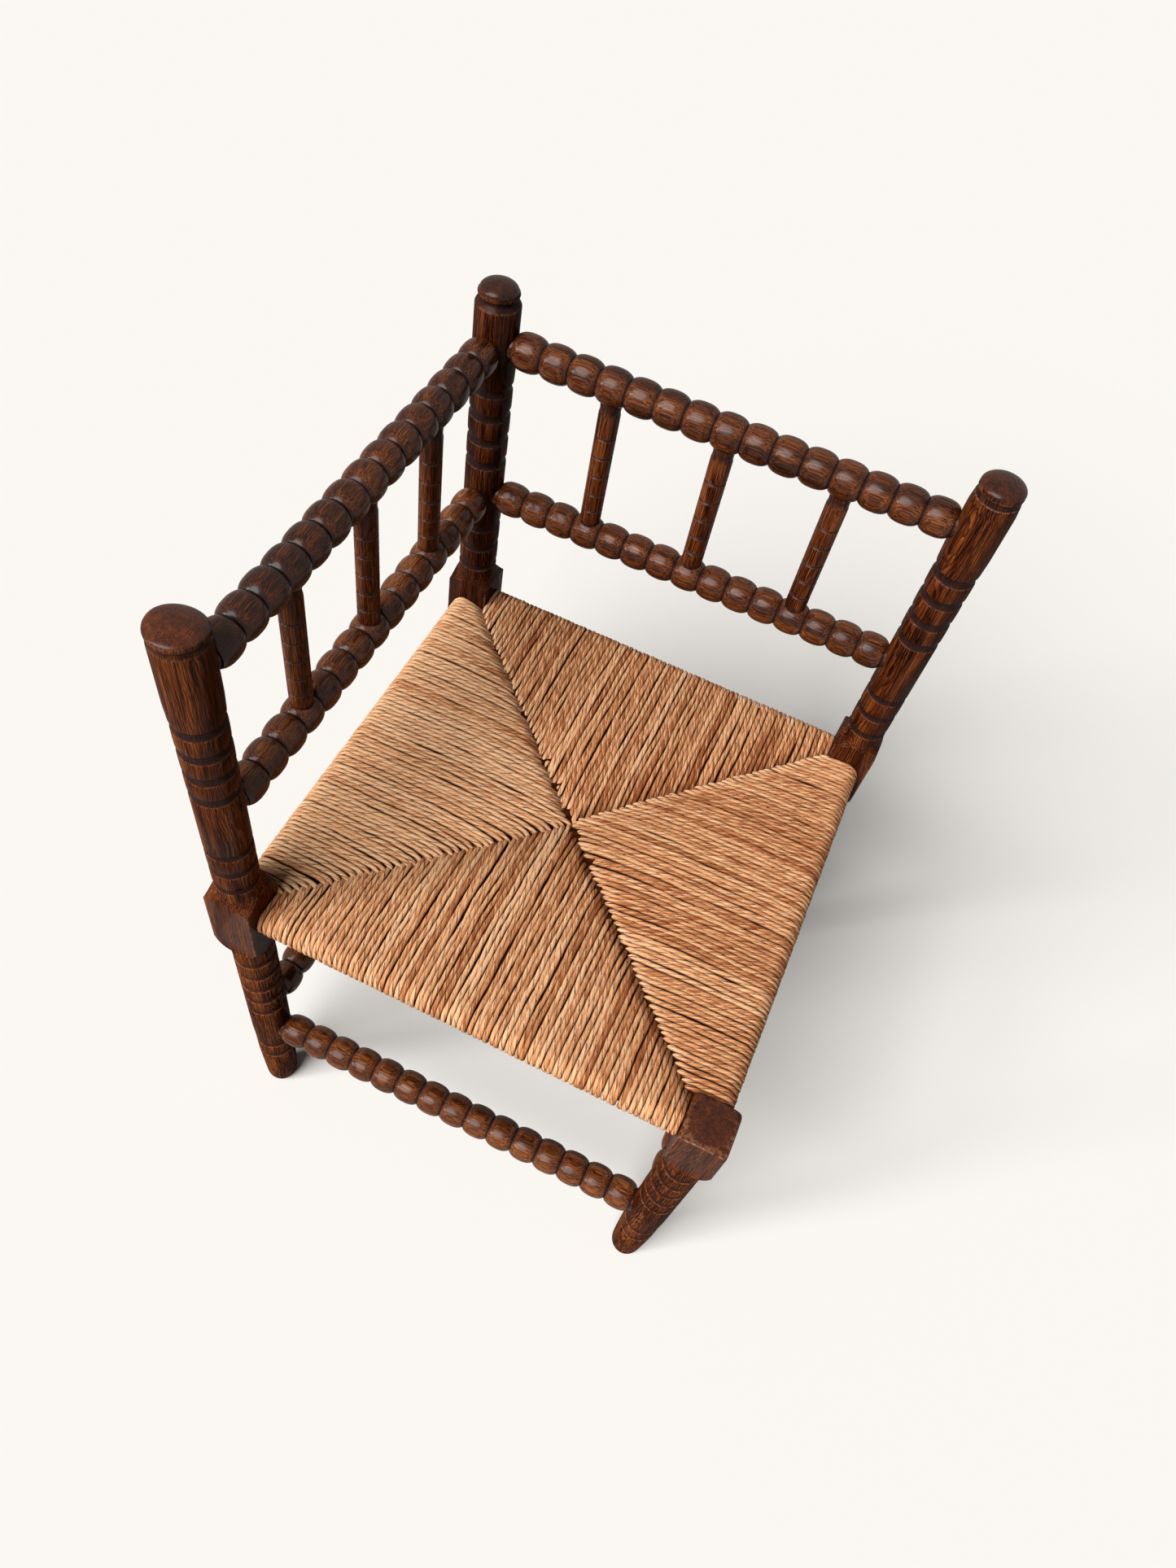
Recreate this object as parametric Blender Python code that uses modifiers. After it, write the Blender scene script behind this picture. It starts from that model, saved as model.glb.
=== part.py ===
"""Corner chair: beaded rails, ringed posts with square blocks, six spindles and a rush seat.

Metres, Z up, the floor at Z 0 and the origin under the middle of the seat.
The left, back and right posts are tall. The front post ends just above the seat.
X runs along the back side, from the back post to the right post.
Y runs along the left side, from the left post to the back post.
"""
import math

import bmesh
import bpy

# Plan, between the axes of the posts
SPAN_X = 0.425
SPAN_Y = 0.4226

# Fits
FIT_GAP = 0.0003
CUT_OVERRUN = 0.002
MERGE_DISTANCE = 0.0001

# Heights, each counted from the piece below it
SEAT_RAIL_Z = 0.3885
BLOCK_RISE = 0.0305
BLOCK_DROP = 0.0275
FRONT_BLOCK_RISE = 0.0175
LOWER_RAIL_RISE = 0.1145
TOP_RAIL_RISE = 0.1583
CAP_RISE = 0.0455
STRETCHER_X_Z = 0.1466
STRETCHER_Y_Z = 0.1834

# Posts, all turned from one square stock, and how much the turning takes off each part
STOCK_WIDTH = 0.0418
CORNER_SPARE = 0.0004
POST_TURNING = 0.0014
SHAFT_INSET = 0.0008
NECK_INSET = 0.0003
LEG_TURNING = 0.0018
ANKLE_INSET = 0.0007
TOE_TAPER = 0.0022
TOE_HEIGHT = 0.0165
SOLE_ROUNDING = 0.0067

CAP_DOME_HEIGHT = 0.0072
CAP_EDGE = 0.0036
CAP_BAND = 0.0066
CAP_GROOVE_DEPTH = 0.0012

SHAFT_STEP = 0.002
SHAFT_GROOVE_PITCH = 0.0258
SHAFT_GROOVE_WIDTH = 0.0088
SHAFT_GROOVE_DEPTH = 0.0015
UPPER_GROOVE_LEAD = 0.0416
LOWER_GROOVE_LEAD = 0.0374

COVE_HEIGHT = 0.016
SHOULDER_HEIGHT = 0.026
FRONT_BLOCK_CROWN = 0.0014

LEG_GROOVE_LEAD = 0.0015
LEG_GROOVE_PITCH = 0.0265
LEG_GROOVE_WIDTH = 0.0082
LEG_GROOVE_DEPTH = 0.0012
ANKLE_GROOVE_LEAD = 0.0324

# Beaded rails and stretchers
BEAD_RADIUS = 0.0162
BEAD_GROOVE_RADIUS = 0.0118
TENON_RADIUS = 0.0065
TENON_WALL = 0.001

# Spindles
SPINDLE_RADIUS = 0.0098
SPINDLE_NECK_RADIUS = 0.009
SPINDLE_NECK_LENGTH = 0.006
SPINDLE_SEAT = 0.009

# Seat rails, hidden in the rolled edge of the rush
SEAT_RAIL_RADIUS = 0.0092

# Rush seat
RUSH_WRAP = 0.005
RUSH_PILLOW_RISE = 0.004
RUSH_VALLEY_DROP = 0.004
RUSH_CENTRE_DIP = 0.0085
RUSH_SAG = 0.01

# Counts
UPPER_GROOVE_COUNT = 4
LOWER_GROOVE_COUNT = 3
LEG_GROOVE_COUNT = 6
ANKLE_GROOVE_COUNT = 2
BEAD_COUNT = 15
SPINDLE_BEADS = (4, 8, 12)
POST_SIDES = 12
BAR_SIDES = 8
RUSH_SIDES = 32
ARC_STEPS = 3
ROLL_STEPS = 4
FLAT_STEPS = 4

# Chosen shares of a size
BEAD_SHOULDER_SHARE = 0.27
VALLEY_START_SHARE = 0.25
CAP_SHARES = {"left": 1.0, "back": 0.9, "right": 0.95}

# Sizes that follow from the ones above
HALF_BLOCK = STOCK_WIDTH / 2
POST_RADIUS = HALF_BLOCK - POST_TURNING
SHAFT_RADIUS = POST_RADIUS - SHAFT_INSET
NECK_RADIUS = SHAFT_RADIUS - NECK_INSET
LEG_RADIUS = HALF_BLOCK - LEG_TURNING
ANKLE_RADIUS = LEG_RADIUS - ANKLE_INSET
TOE_RADIUS = ANKLE_RADIUS - TOE_TAPER
SOLE_RADIUS = TOE_RADIUS - SOLE_ROUNDING
BLOCK_REACH = HALF_BLOCK * math.sqrt(2) + CORNER_SPARE
TENON_TIP = TENON_RADIUS + TENON_WALL
ROLL_RADIUS = SEAT_RAIL_RADIUS + RUSH_WRAP
BLOCK_TOP_Z = SEAT_RAIL_Z + BLOCK_RISE
BLOCK_BOTTOM_Z = SEAT_RAIL_Z - BLOCK_DROP
FRONT_BLOCK_TOP_Z = SEAT_RAIL_Z + FRONT_BLOCK_RISE
LOWER_RAIL_Z = BLOCK_TOP_Z + LOWER_RAIL_RISE
TOP_RAIL_Z = LOWER_RAIL_Z + TOP_RAIL_RISE
CAP_RIM_Z = TOP_RAIL_Z + CAP_RISE
QUARTER = math.pi / 2

POST_PLACES = {
    "left": (-SPAN_X / 2, -SPAN_Y / 2),
    "back": (-SPAN_X / 2, SPAN_Y / 2),
    "right": (SPAN_X / 2, SPAN_Y / 2),
    "front": (SPAN_X / 2, -SPAN_Y / 2),
}


def clear_scene():
    """Remove every object, so that the script can be run again."""
    for item in list(bpy.data.objects):
        bpy.data.objects.remove(item)


def new_collection(name):
    """Make a collection and show it in the scene."""
    group = bpy.data.collections.new(name)
    bpy.context.scene.collection.children.link(group)
    return group


def make_material(name, colour, roughness):
    """Plain material with the colour and gloss that the photograph shows."""
    material = bpy.data.materials.new(name)
    material.use_nodes = True
    shader = material.node_tree.nodes["Principled BSDF"]
    shader.inputs["Base Color"].default_value = (*colour, 1.0)
    shader.inputs["Roughness"].default_value = roughness
    shader.inputs["Metallic"].default_value = 0.0
    material.diffuse_color = (*colour, 1.0)
    return material


def add_object(name, mesh, group, material=None):
    """Put a mesh into the scene as an object of its own."""
    item = bpy.data.objects.new(name, mesh)
    group.objects.link(item)
    if material:
        mesh.materials.append(material)
    return item


def turned(name, outline, sides, group, material):
    """Turn an outline of (radius, height) points, given from top to bottom, about Z."""
    mesh = bpy.data.meshes.new(name)
    points = [(radius, 0, height) for radius, height in outline]
    mesh.from_pydata(points, [(i, i + 1) for i in range(len(points) - 1)], [])
    item = add_object(name, mesh, group, material)
    screw = item.modifiers.new("turning", "SCREW")
    screw.axis = "Z"
    screw.steps = sides
    screw.render_steps = sides
    screw.use_merge_vertices = True
    screw.merge_threshold = MERGE_DISTANCE
    screw.use_smooth_shade = True
    return item


def cutter(name, make, place, group):
    """Add a hidden shape that only cuts or trims the pieces."""
    mesh = bpy.data.meshes.new(name)
    shape = bmesh.new()
    make(shape)
    shape.to_mesh(mesh)
    shape.free()
    item = add_object(name, mesh, group)
    item.location = place
    item.hide_render = True
    item.display_type = "WIRE"
    return item


def bar_cutter(name, radius, length, place, axis, group):
    """Round cutter, centred on its place, along X, Y or Z."""
    def make(shape):
        bmesh.ops.create_cone(
            shape, cap_ends=True, segments=BAR_SIDES, radius1=radius, radius2=radius, depth=length
        )

    item = cutter(name, make, place, group)
    lay_along(item, axis)
    return item


def box_cutter(name, width, bottom, top, place, group):
    """Square upright cutter between two heights."""
    def make(shape):
        bmesh.ops.create_cube(shape, size=1)
        bmesh.ops.scale(shape, vec=(width, width, top - bottom), verts=shape.verts)

    return cutter(name, make, (place[0], place[1], (top + bottom) / 2), group)


def lay_along(item, axis):
    """Turn a piece that was made along Z so that it lies along X or Y."""
    if axis == "X":
        item.rotation_euler = (0, QUARTER, 0)
    if axis == "Y":
        item.rotation_euler = (-QUARTER, 0, 0)


def cut(item, tool, operation="DIFFERENCE"):
    """Cut one piece by another, or keep only what they share."""
    boolean = item.modifiers.new(tool.name, "BOOLEAN")
    boolean.operation = operation
    boolean.solver = "EXACT"
    boolean.object = tool


def arc(start, end, steps=ARC_STEPS):
    """Quarter of an ellipse between two outline points, level or upright at its ends.

    It leaves the start along Z and comes to the end along the radius.
    """
    points = []
    for step in range(steps + 1):
        angle = QUARTER * step / steps
        radius = end[0] + (start[0] - end[0]) * math.cos(angle)
        points.append((radius, start[1] + (end[1] - start[1]) * math.sin(angle)))
    return points


def groove(radius, height, width, depth):
    """One turned V groove, top to bottom."""
    return [(radius, height + width / 2), (radius - depth, height), (radius, height - width / 2)]


def grooves(radius, top, pitch, count, width, depth):
    """A row of turned grooves, the first at the given height."""
    outline = []
    for index in range(count):
        outline += groove(radius, top - index * pitch, width, depth)
    return outline


def cap_outline(share):
    """Domed cap with a scribed band under its rim."""
    radius = POST_RADIUS * share
    edge_z = CAP_RIM_Z - CAP_EDGE
    outline = list(reversed(arc((radius, CAP_RIM_Z), (0, CAP_RIM_Z + CAP_DOME_HEIGHT))))
    outline.append((radius, edge_z))
    outline.append((radius - CAP_GROOVE_DEPTH, edge_z - CAP_GROOVE_DEPTH))
    outline.append((POST_RADIUS, edge_z - CAP_BAND))
    return outline


def shaft_outline():
    """Shaft between the cap and the block, stepped in a little from the top rail down."""
    upper_z = TOP_RAIL_Z - UPPER_GROOVE_LEAD
    lower_z = LOWER_RAIL_Z - LOWER_GROOVE_LEAD
    cut_size = (SHAFT_GROOVE_WIDTH, SHAFT_GROOVE_DEPTH)
    outline = grooves(SHAFT_RADIUS, upper_z, SHAFT_GROOVE_PITCH, UPPER_GROOVE_COUNT, *cut_size)
    outline += grooves(SHAFT_RADIUS, lower_z, SHAFT_GROOVE_PITCH, LOWER_GROOVE_COUNT, *cut_size)
    step_z = upper_z + SHAFT_GROOVE_WIDTH / 2 + SHAFT_STEP
    return [(POST_RADIUS, step_z)] + outline


def cove_outline():
    """Hollow that flares from the neck of the shaft to the corners of the block."""
    return arc((NECK_RADIUS, BLOCK_TOP_Z + COVE_HEIGHT), (BLOCK_REACH, BLOCK_TOP_Z))


def front_top_outline():
    """Slightly crowned top of the short post."""
    crown_z = FRONT_BLOCK_TOP_Z + FRONT_BLOCK_CROWN
    return [(0, crown_z), (HALF_BLOCK, FRONT_BLOCK_TOP_Z), (BLOCK_REACH, FRONT_BLOCK_TOP_Z)]


def leg_outline():
    """Rounded shoulder under the block, ringed leg, plainer ankle and tapered foot."""
    shoulder_z = BLOCK_BOTTOM_Z - SHOULDER_HEIGHT
    leg_z = shoulder_z - LEG_GROOVE_LEAD
    ankle_z = STRETCHER_X_Z - ANKLE_GROOVE_LEAD
    cut_size = (LEG_GROOVE_WIDTH, LEG_GROOVE_DEPTH)
    outline = arc((BLOCK_REACH, BLOCK_BOTTOM_Z), (LEG_RADIUS, shoulder_z))
    outline += grooves(LEG_RADIUS, leg_z, LEG_GROOVE_PITCH, LEG_GROOVE_COUNT, *cut_size)[1:]
    outline += grooves(ANKLE_RADIUS, ankle_z, LEG_GROOVE_PITCH, ANKLE_GROOVE_COUNT, *cut_size)
    return outline + arc((TOE_RADIUS, TOE_HEIGHT), (SOLE_RADIUS, 0)) + [(0, 0)]


def beaded_outline(length, tenon):
    """Outline of a beaded rail along its own axis, with a round tenon at each end."""
    end = length / 2
    pitch = length / BEAD_COUNT
    shoulder = pitch * BEAD_SHOULDER_SHARE
    outline = [(0, end + tenon), (TENON_RADIUS, end + tenon), (TENON_RADIUS, end)]
    outline.append((BEAD_GROOVE_RADIUS, end))
    for bead in range(BEAD_COUNT):
        start = end - bead * pitch
        outline.append((BEAD_RADIUS, start - shoulder))
        outline.append((BEAD_RADIUS, start - pitch + shoulder))
        outline.append((BEAD_GROOVE_RADIUS, start - pitch))
    outline += [(TENON_RADIUS, -end), (TENON_RADIUS, -end - tenon), (0, -end - tenon)]
    return outline


def bar_outline(radius, length, tenon):
    """Outline of a plain round bar with a tenon at each end."""
    end = length / 2
    upper = [(0, end + tenon), (TENON_RADIUS, end + tenon), (TENON_RADIUS, end), (radius, end)]
    lower = [(reach, -height) for reach, height in reversed(upper)]
    return upper + lower


def spindle_outline(bottom, top, bead_face):
    """Spindle whose whole end sits in the rails, with a thinner neck under the top bead."""
    neck_top = bead_face - SPINDLE_NECK_LENGTH / 2
    neck_bottom = neck_top - SPINDLE_NECK_LENGTH
    return [
        (0, top),
        (SPINDLE_RADIUS, top),
        (SPINDLE_RADIUS, bead_face),
        (SPINDLE_NECK_RADIUS, neck_top),
        (SPINDLE_RADIUS, neck_bottom),
        (SPINDLE_RADIUS, bottom),
        (0, bottom),
    ]


def rush_outline():
    """Half section of the rush, from the middle of its top, round the rail, to the middle below."""
    flat = SPAN_X / 2
    upper = [(flat * step / FLAT_STEPS, SEAT_RAIL_Z + ROLL_RADIUS) for step in range(FLAT_STEPS)]
    roll = []
    for step in range(ROLL_STEPS + 1):
        angle = QUARTER * (1 - 2 * step / ROLL_STEPS)
        height = SEAT_RAIL_Z + ROLL_RADIUS * math.sin(angle)
        roll.append((flat + ROLL_RADIUS * math.cos(angle), height))
    lower = [(radius, SEAT_RAIL_Z - ROLL_RADIUS) for radius, height in reversed(upper)]
    return upper + roll + lower


def build_post(name, outline, tools, groups, material):
    """Turn a post, trim it to its square block and bore its mortises."""
    parts, cutters = groups
    place = POST_PLACES[name]
    top = outline[0][1]
    item = turned(f"post_{name}", outline, POST_SIDES, parts, material)
    item.location = (place[0], place[1], 0)
    prism = box_cutter(f"stock_{name}", STOCK_WIDTH, -CUT_OVERRUN, top + CUT_OVERRUN, place, cutters)
    cut(item, prism, "INTERSECT")
    for tool in tools:
        cut(item, tool)
    return item


def build_rail(name, outline, reach, place, axis, groups, material):
    """Add a rail and the round cutter that bores its mortises in the two posts."""
    parts, cutters = groups
    item = turned(name, outline, BAR_SIDES, parts, material)
    item.location = place
    lay_along(item, axis)
    length = 2 * (reach + FIT_GAP)
    return item, bar_cutter(f"mortise_{name}", TENON_RADIUS + FIT_GAP, length, place, axis, cutters)


def rail_length(span, post_radius):
    """Visible length of a rail between two posts."""
    return span - 2 * (post_radius + FIT_GAP)


def build_beaded(name, axis, place, post_radius, groups, material):
    """Beaded rail or stretcher between two posts of the given radius."""
    span = SPAN_X if axis == "X" else SPAN_Y
    length = rail_length(span, post_radius)
    tenon = post_radius + FIT_GAP - TENON_TIP
    outline = beaded_outline(length, tenon)
    return build_rail(name, outline, length / 2 + tenon, place, axis, groups, material)


def build_seat_rail(name, axis, place, groups, material):
    """Plain dowel between two blocks, which the rush is wrapped round."""
    span = SPAN_X if axis == "X" else SPAN_Y
    length = rail_length(span, HALF_BLOCK)
    tenon = HALF_BLOCK + FIT_GAP - TENON_TIP
    outline = bar_outline(SEAT_RAIL_RADIUS, length, tenon)
    return build_rail(name, outline, length / 2 + tenon, place, axis, groups, material)


def build_spindles(side, axis, line, rails, groups, material):
    """Stand three spindles between the two rails of one side and bore their sockets."""
    parts, cutters = groups
    span = SPAN_X if axis == "X" else SPAN_Y
    pitch = rail_length(span, POST_RADIUS) / BEAD_COUNT
    bottom = LOWER_RAIL_Z + SPINDLE_SEAT
    top = TOP_RAIL_Z - SPINDLE_SEAT
    bead_face = TOP_RAIL_Z - math.sqrt(BEAD_RADIUS**2 - SPINDLE_RADIUS**2)
    for number, bead in enumerate(SPINDLE_BEADS, start=1):
        along = (bead - (BEAD_COUNT + 1) / 2) * pitch
        place = (along, line) if axis == "X" else (line, along)
        outline = spindle_outline(bottom, top, bead_face)
        item = turned(f"spindle_{side}_{number}", outline, BAR_SIDES, parts, material)
        item.location = (place[0], place[1], 0)
        middle = (place[0], place[1], (top + bottom) / 2)
        length = top - bottom + 2 * FIT_GAP
        name = f"socket_{side}_{number}"
        socket = bar_cutter(name, SPINDLE_RADIUS + FIT_GAP, length, middle, "Z", cutters)
        for rail in rails:
            cut(rail, socket)


def rush_swell(inward, across):
    """How far the rush stands proud of the height of its rolled edge.

    inward is 0 at the rail and 1 in the middle of the seat.
    across is 0 on the middle line of a side and 1 on the diagonal.
    """
    pillow = RUSH_PILLOW_RISE * math.sin(math.pi * inward) * (1 - across**2)
    valley = RUSH_VALLEY_DROP * across**4 * min(1, inward / VALLEY_START_SHARE)
    return pillow - valley - RUSH_CENTRE_DIP * inward**2


def square_off(item):
    """Push the turned rings of the rush out to squares, with pillows and diagonal valleys."""
    depsgraph = bpy.context.evaluated_depsgraph_get()
    mesh = bpy.data.meshes.new_from_object(item.evaluated_get(depsgraph))
    item.modifiers.clear()
    item.data = mesh
    half_x = SPAN_X / 2
    half_y = SPAN_Y / 2
    for vertex in mesh.vertices:
        x, y, z = vertex.co
        radius = math.hypot(x, y)
        leading = max(abs(x), abs(y), MERGE_DISTANCE)
        across = min(abs(x), abs(y)) / leading
        share = min(1, radius / half_x)
        beyond = max(0, radius - half_x)
        height = z - SEAT_RAIL_Z
        side = math.copysign(1, height) if abs(height) > FIT_GAP else 0
        swell = rush_swell(1 - share, across)
        if side < 0:
            swell += RUSH_SAG * (1 - share)
        place_x = x / leading * (half_x * share + beyond)
        place_y = y / leading * (half_y * share + beyond)
        vertex.co = (place_x, place_y, z + side * swell)
    return item


def build_rush(rail_tools, groups, material):
    """Close rush seat with a tunnel for each seat rail and a notch for each block."""
    parts, cutters = groups
    item = square_off(turned("rush_seat", rush_outline(), RUSH_SIDES, parts, material))
    reach = 2 * ROLL_RADIUS + RUSH_SAG
    width = STOCK_WIDTH + 2 * FIT_GAP
    for name, place in POST_PLACES.items():
        notch = f"notch_{name}"
        cut(item, box_cutter(notch, width, SEAT_RAIL_Z - reach, SEAT_RAIL_Z + reach, place, cutters))
    for tool in rail_tools:
        cut(item, tool)
    return item


def build_chair():
    """Make every rail first, then the posts and the rush that they pass through."""
    parts = new_collection("corner_chair")
    cutters = new_collection("cutters")
    groups = (parts, cutters)
    post_wood = make_material("post_oak", (0.105, 0.036, 0.014), 0.38)
    rail_wood = make_material("rail_oak", (0.125, 0.043, 0.016), 0.36)
    spindle_wood = make_material("spindle_oak", (0.115, 0.034, 0.013), 0.4)
    bar_wood = make_material("bar_beech", (0.36, 0.22, 0.12), 0.6)
    rush = make_material("rush", (0.61, 0.32, 0.12), 0.75)

    left_x = -SPAN_X / 2
    right_x = SPAN_X / 2
    front_y = -SPAN_Y / 2
    back_y = SPAN_Y / 2
    beaded = {
        "top_rail_back": ("X", (0, back_y, TOP_RAIL_Z), POST_RADIUS, "back", "right"),
        "top_rail_left": ("Y", (left_x, 0, TOP_RAIL_Z), POST_RADIUS, "left", "back"),
        "lower_rail_back": ("X", (0, back_y, LOWER_RAIL_Z), SHAFT_RADIUS, "back", "right"),
        "lower_rail_left": ("Y", (left_x, 0, LOWER_RAIL_Z), SHAFT_RADIUS, "left", "back"),
        "stretcher_back": ("X", (0, back_y, STRETCHER_X_Z), LEG_RADIUS, "back", "right"),
        "stretcher_front": ("X", (0, front_y, STRETCHER_X_Z), LEG_RADIUS, "left", "front"),
        "stretcher_left": ("Y", (left_x, 0, STRETCHER_Y_Z), LEG_RADIUS, "left", "back"),
        "stretcher_right": ("Y", (right_x, 0, STRETCHER_Y_Z), LEG_RADIUS, "front", "right"),
    }
    bars = {
        "seat_rail_back": ("X", (0, back_y, SEAT_RAIL_Z), "back", "right"),
        "seat_rail_front": ("X", (0, front_y, SEAT_RAIL_Z), "left", "front"),
        "seat_rail_left": ("Y", (left_x, 0, SEAT_RAIL_Z), "left", "back"),
        "seat_rail_right": ("Y", (right_x, 0, SEAT_RAIL_Z), "front", "right"),
    }

    mortises = {name: [] for name in POST_PLACES}
    rails = {}
    for name, (axis, place, post_radius, first, second) in beaded.items():
        rails[name], tool = build_beaded(name, axis, place, post_radius, groups, rail_wood)
        mortises[first].append(tool)
        mortises[second].append(tool)
    tunnels = []
    for name, (axis, place, first, second) in bars.items():
        rail, tool = build_seat_rail(name, axis, place, groups, bar_wood)
        mortises[first].append(tool)
        mortises[second].append(tool)
        span = SPAN_X if axis == "X" else SPAN_Y
        radius = SEAT_RAIL_RADIUS + FIT_GAP
        tunnels.append(bar_cutter(f"tunnel_{name}", radius, span, place, axis, cutters))

    back_pair = (rails["top_rail_back"], rails["lower_rail_back"])
    left_pair = (rails["top_rail_left"], rails["lower_rail_left"])
    build_spindles("back", "X", back_y, back_pair, groups, spindle_wood)
    build_spindles("left", "Y", left_x, left_pair, groups, spindle_wood)

    for name, share in CAP_SHARES.items():
        outline = cap_outline(share) + shaft_outline() + cove_outline() + leg_outline()
        build_post(name, outline, mortises[name], groups, post_wood)
    outline = front_top_outline() + leg_outline()
    build_post("front", outline, mortises["front"], groups, post_wood)
    build_rush(tunnels, groups, rush)


clear_scene()
build_chair()
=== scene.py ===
"""Corner chair with turned oak posts, beaded rails, spindles and a woven rush seat.
"""
import math
import random
from itertools import product

import bmesh
import bpy
import numpy as np
from mathutils import Matrix, Vector, noise


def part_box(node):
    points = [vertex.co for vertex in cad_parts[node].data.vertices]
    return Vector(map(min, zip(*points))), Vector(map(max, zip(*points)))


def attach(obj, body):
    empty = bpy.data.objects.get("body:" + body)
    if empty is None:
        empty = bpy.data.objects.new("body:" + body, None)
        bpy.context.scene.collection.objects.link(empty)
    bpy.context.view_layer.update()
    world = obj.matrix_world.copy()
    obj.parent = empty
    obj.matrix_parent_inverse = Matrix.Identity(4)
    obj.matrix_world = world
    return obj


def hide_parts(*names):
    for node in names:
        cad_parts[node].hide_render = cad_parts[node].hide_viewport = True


bl_info = {
    "name": "Corner Chair",
    "version": (1, 0, 0),
    "blender": (4, 5, 0),
    "location": "View3D > Sidebar > Chair",
    "description": "Makes a corner chair with beaded rails and a rush seat",
    "category": "Add Mesh",
}

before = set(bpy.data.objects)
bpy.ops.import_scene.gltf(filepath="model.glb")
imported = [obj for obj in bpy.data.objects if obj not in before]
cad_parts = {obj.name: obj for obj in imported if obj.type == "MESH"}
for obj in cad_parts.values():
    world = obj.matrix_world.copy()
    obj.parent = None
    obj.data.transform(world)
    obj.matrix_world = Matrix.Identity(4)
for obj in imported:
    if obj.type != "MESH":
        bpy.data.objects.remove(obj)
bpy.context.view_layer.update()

FULL_TURN = 2 * math.pi
QUARTER = math.pi / 2
BODY = "root"


def middle(node):
    """Middle of a CAD node's box."""
    low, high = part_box(node)
    return Vector([(low[i] + high[i]) / 2 for i in range(3)])


def width(node):
    """Size of a CAD node along X."""
    low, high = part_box(node)
    return high[0] - low[0]


SIDES = ("left", "back", "right", "front")
POST_PLACES = {side: middle(f"post_{side}").to_2d() for side in SIDES}
SPAN_X = POST_PLACES["front"].x - POST_PLACES["left"].x
SPAN_Y = POST_PLACES["back"].y - POST_PLACES["left"].y
SEAT_RAIL_Z = middle("seat_rail_back").z
LOWER_RAIL_Z = middle("lower_rail_back").z
TOP_RAIL_Z = middle("top_rail_back").z
STRETCHER_X_Z = middle("stretcher_back").z
STRETCHER_Y_Z = middle("stretcher_left").z
CAP_TOP_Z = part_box("post_left")[1][2]

# Posts, counted from the heights above
CAP_DOME = 0.0072
LEFT_CAP_DOME = 0.0042
CAP_RIM_Z = CAP_TOP_Z - CAP_DOME
BLOCK_TOP_Z = SEAT_RAIL_Z + 0.0305
BLOCK_BOTTOM_Z = SEAT_RAIL_Z - 0.0275
FRONT_BLOCK_TOP_Z = SEAT_RAIL_Z + 0.0175
COVE_HEIGHT = 0.016
SHOULDER_HEIGHT = 0.026
SHAFT_RING_PITCH = 0.0258
SHAFT_STEP = 0.002
SHAFT_SHOULDER = 0.016
SHAFT_LIP = 0.0002
NECK_INSET = 0.0003
UPPER_RING_Z = TOP_RAIL_Z - 0.0416
LOWER_RING_Z = LOWER_RAIL_Z - 0.0374
LEG_RING_PITCH = 0.0265
LEG_RING_Z = BLOCK_BOTTOM_Z - SHOULDER_HEIGHT - 0.0015
ANKLE_RING_Z = STRETCHER_X_Z - 0.0324
UPPER_RINGS = 4
LOWER_RINGS = 3
LEG_RINGS = 6
ANKLE_RINGS = 2
LEG_RING_MARKS = (0.8, 0.9)
ANKLE_TAPER = 0.0015
TOE_TAPER = 0.0022
TOE_HEIGHT = 0.0165
SOLE_ROUNDING = 0.0067
CORNER_SPARE = 0.0004
# Steps of a post's round stretches
CAP_STEPS = 12
COVE_STEPS = 12
SHOULDER_STEPS = 14
TOE_STEPS = 7

# Points below a cap's rim: inset from the post, drop from the rim, wax and wear
LEFT_CAP = (
    (-0.0001, 0.0007, 0, 0.9), (0, 0.0014), (0.0001, 0.0034, 0, 0.3), (0.0008, 0.0041, 0.9),
    (0.0012, 0.0048, 1.0), (0.0009, 0.0056, 0.8), (0.0006, 0.0080, 0.45),
    (0.0002, 0.0100, 0.3, 0.4), (0, 0.0108),
)
BACK_CAP = (
    (0.0022, 0.0010), (0.0019, 0.0022, 0, 0.3), (0.0022, 0.0034), (0.0031, 0.0044, 0.5),
    (0.0053, 0.0058, 1.0), (0.0051, 0.0068, 1.0), (0.0015, 0.0096, 0.5),
    (0.0004, 0.0112, 0.2, 0.4), (0, 0.0122),
)
RIGHT_CAP = (
    (0.0011, 0.0022, 0, 0.1), (0.0010, 0.0029, 0, 1.0), (0.0018, 0.0034, 0.9),
    (0.0019, 0.0060, 0.7), (0.0017, 0.0086, 0.8), (0.0010, 0.0093, 0, 1.0), (0.0009, 0.0101),
    (0, 0.0200),
)
# Each tall post's cap: inset of its dome from the post, height of the dome and points below it
CAPS = {
    "left": (0, LEFT_CAP_DOME, LEFT_CAP),
    "back": (0.0031, CAP_DOME, BACK_CAP),
    "right": (0.0011, CAP_DOME, RIGHT_CAP),
}
# The left cap is worn lower towards the top rail: how much, from where, which way and how soon
CAP_WEAR = 0.0042
CAP_WEAR_HEIGHT = 0.012
CAP_WEAR_WAY = (0.25, 0.97)
CAP_WEAR_START = 0.15

# How round beads and grooves are, and how full
ROUNDNESS = 2.6
FULLNESS = 0.8

# Turned grooves: the lips beside them and how they deepen
RING_LIP = 0.0004
RING_EASE = 0.12
RING_STEPS = 10
RING_SWELL = 0.0001
LOWER_RING_SHARE = 0.87

# Front block: its crown, in shares of its reach, then the rounding of its corners
FRONT_CROWN = 0.0042
CROWN_LIFT_SHARE = 0.4
CROWN_SHARES = (0, 0.14, 0.28, 0.42, 0.55, 1)
ROUND_FROM = 0.0262
ROUND_HEIGHT = 0.03
ROUND_BACK_SHARE = 0.6
ROUND_FRONT_SHARE = 0.2
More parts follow.
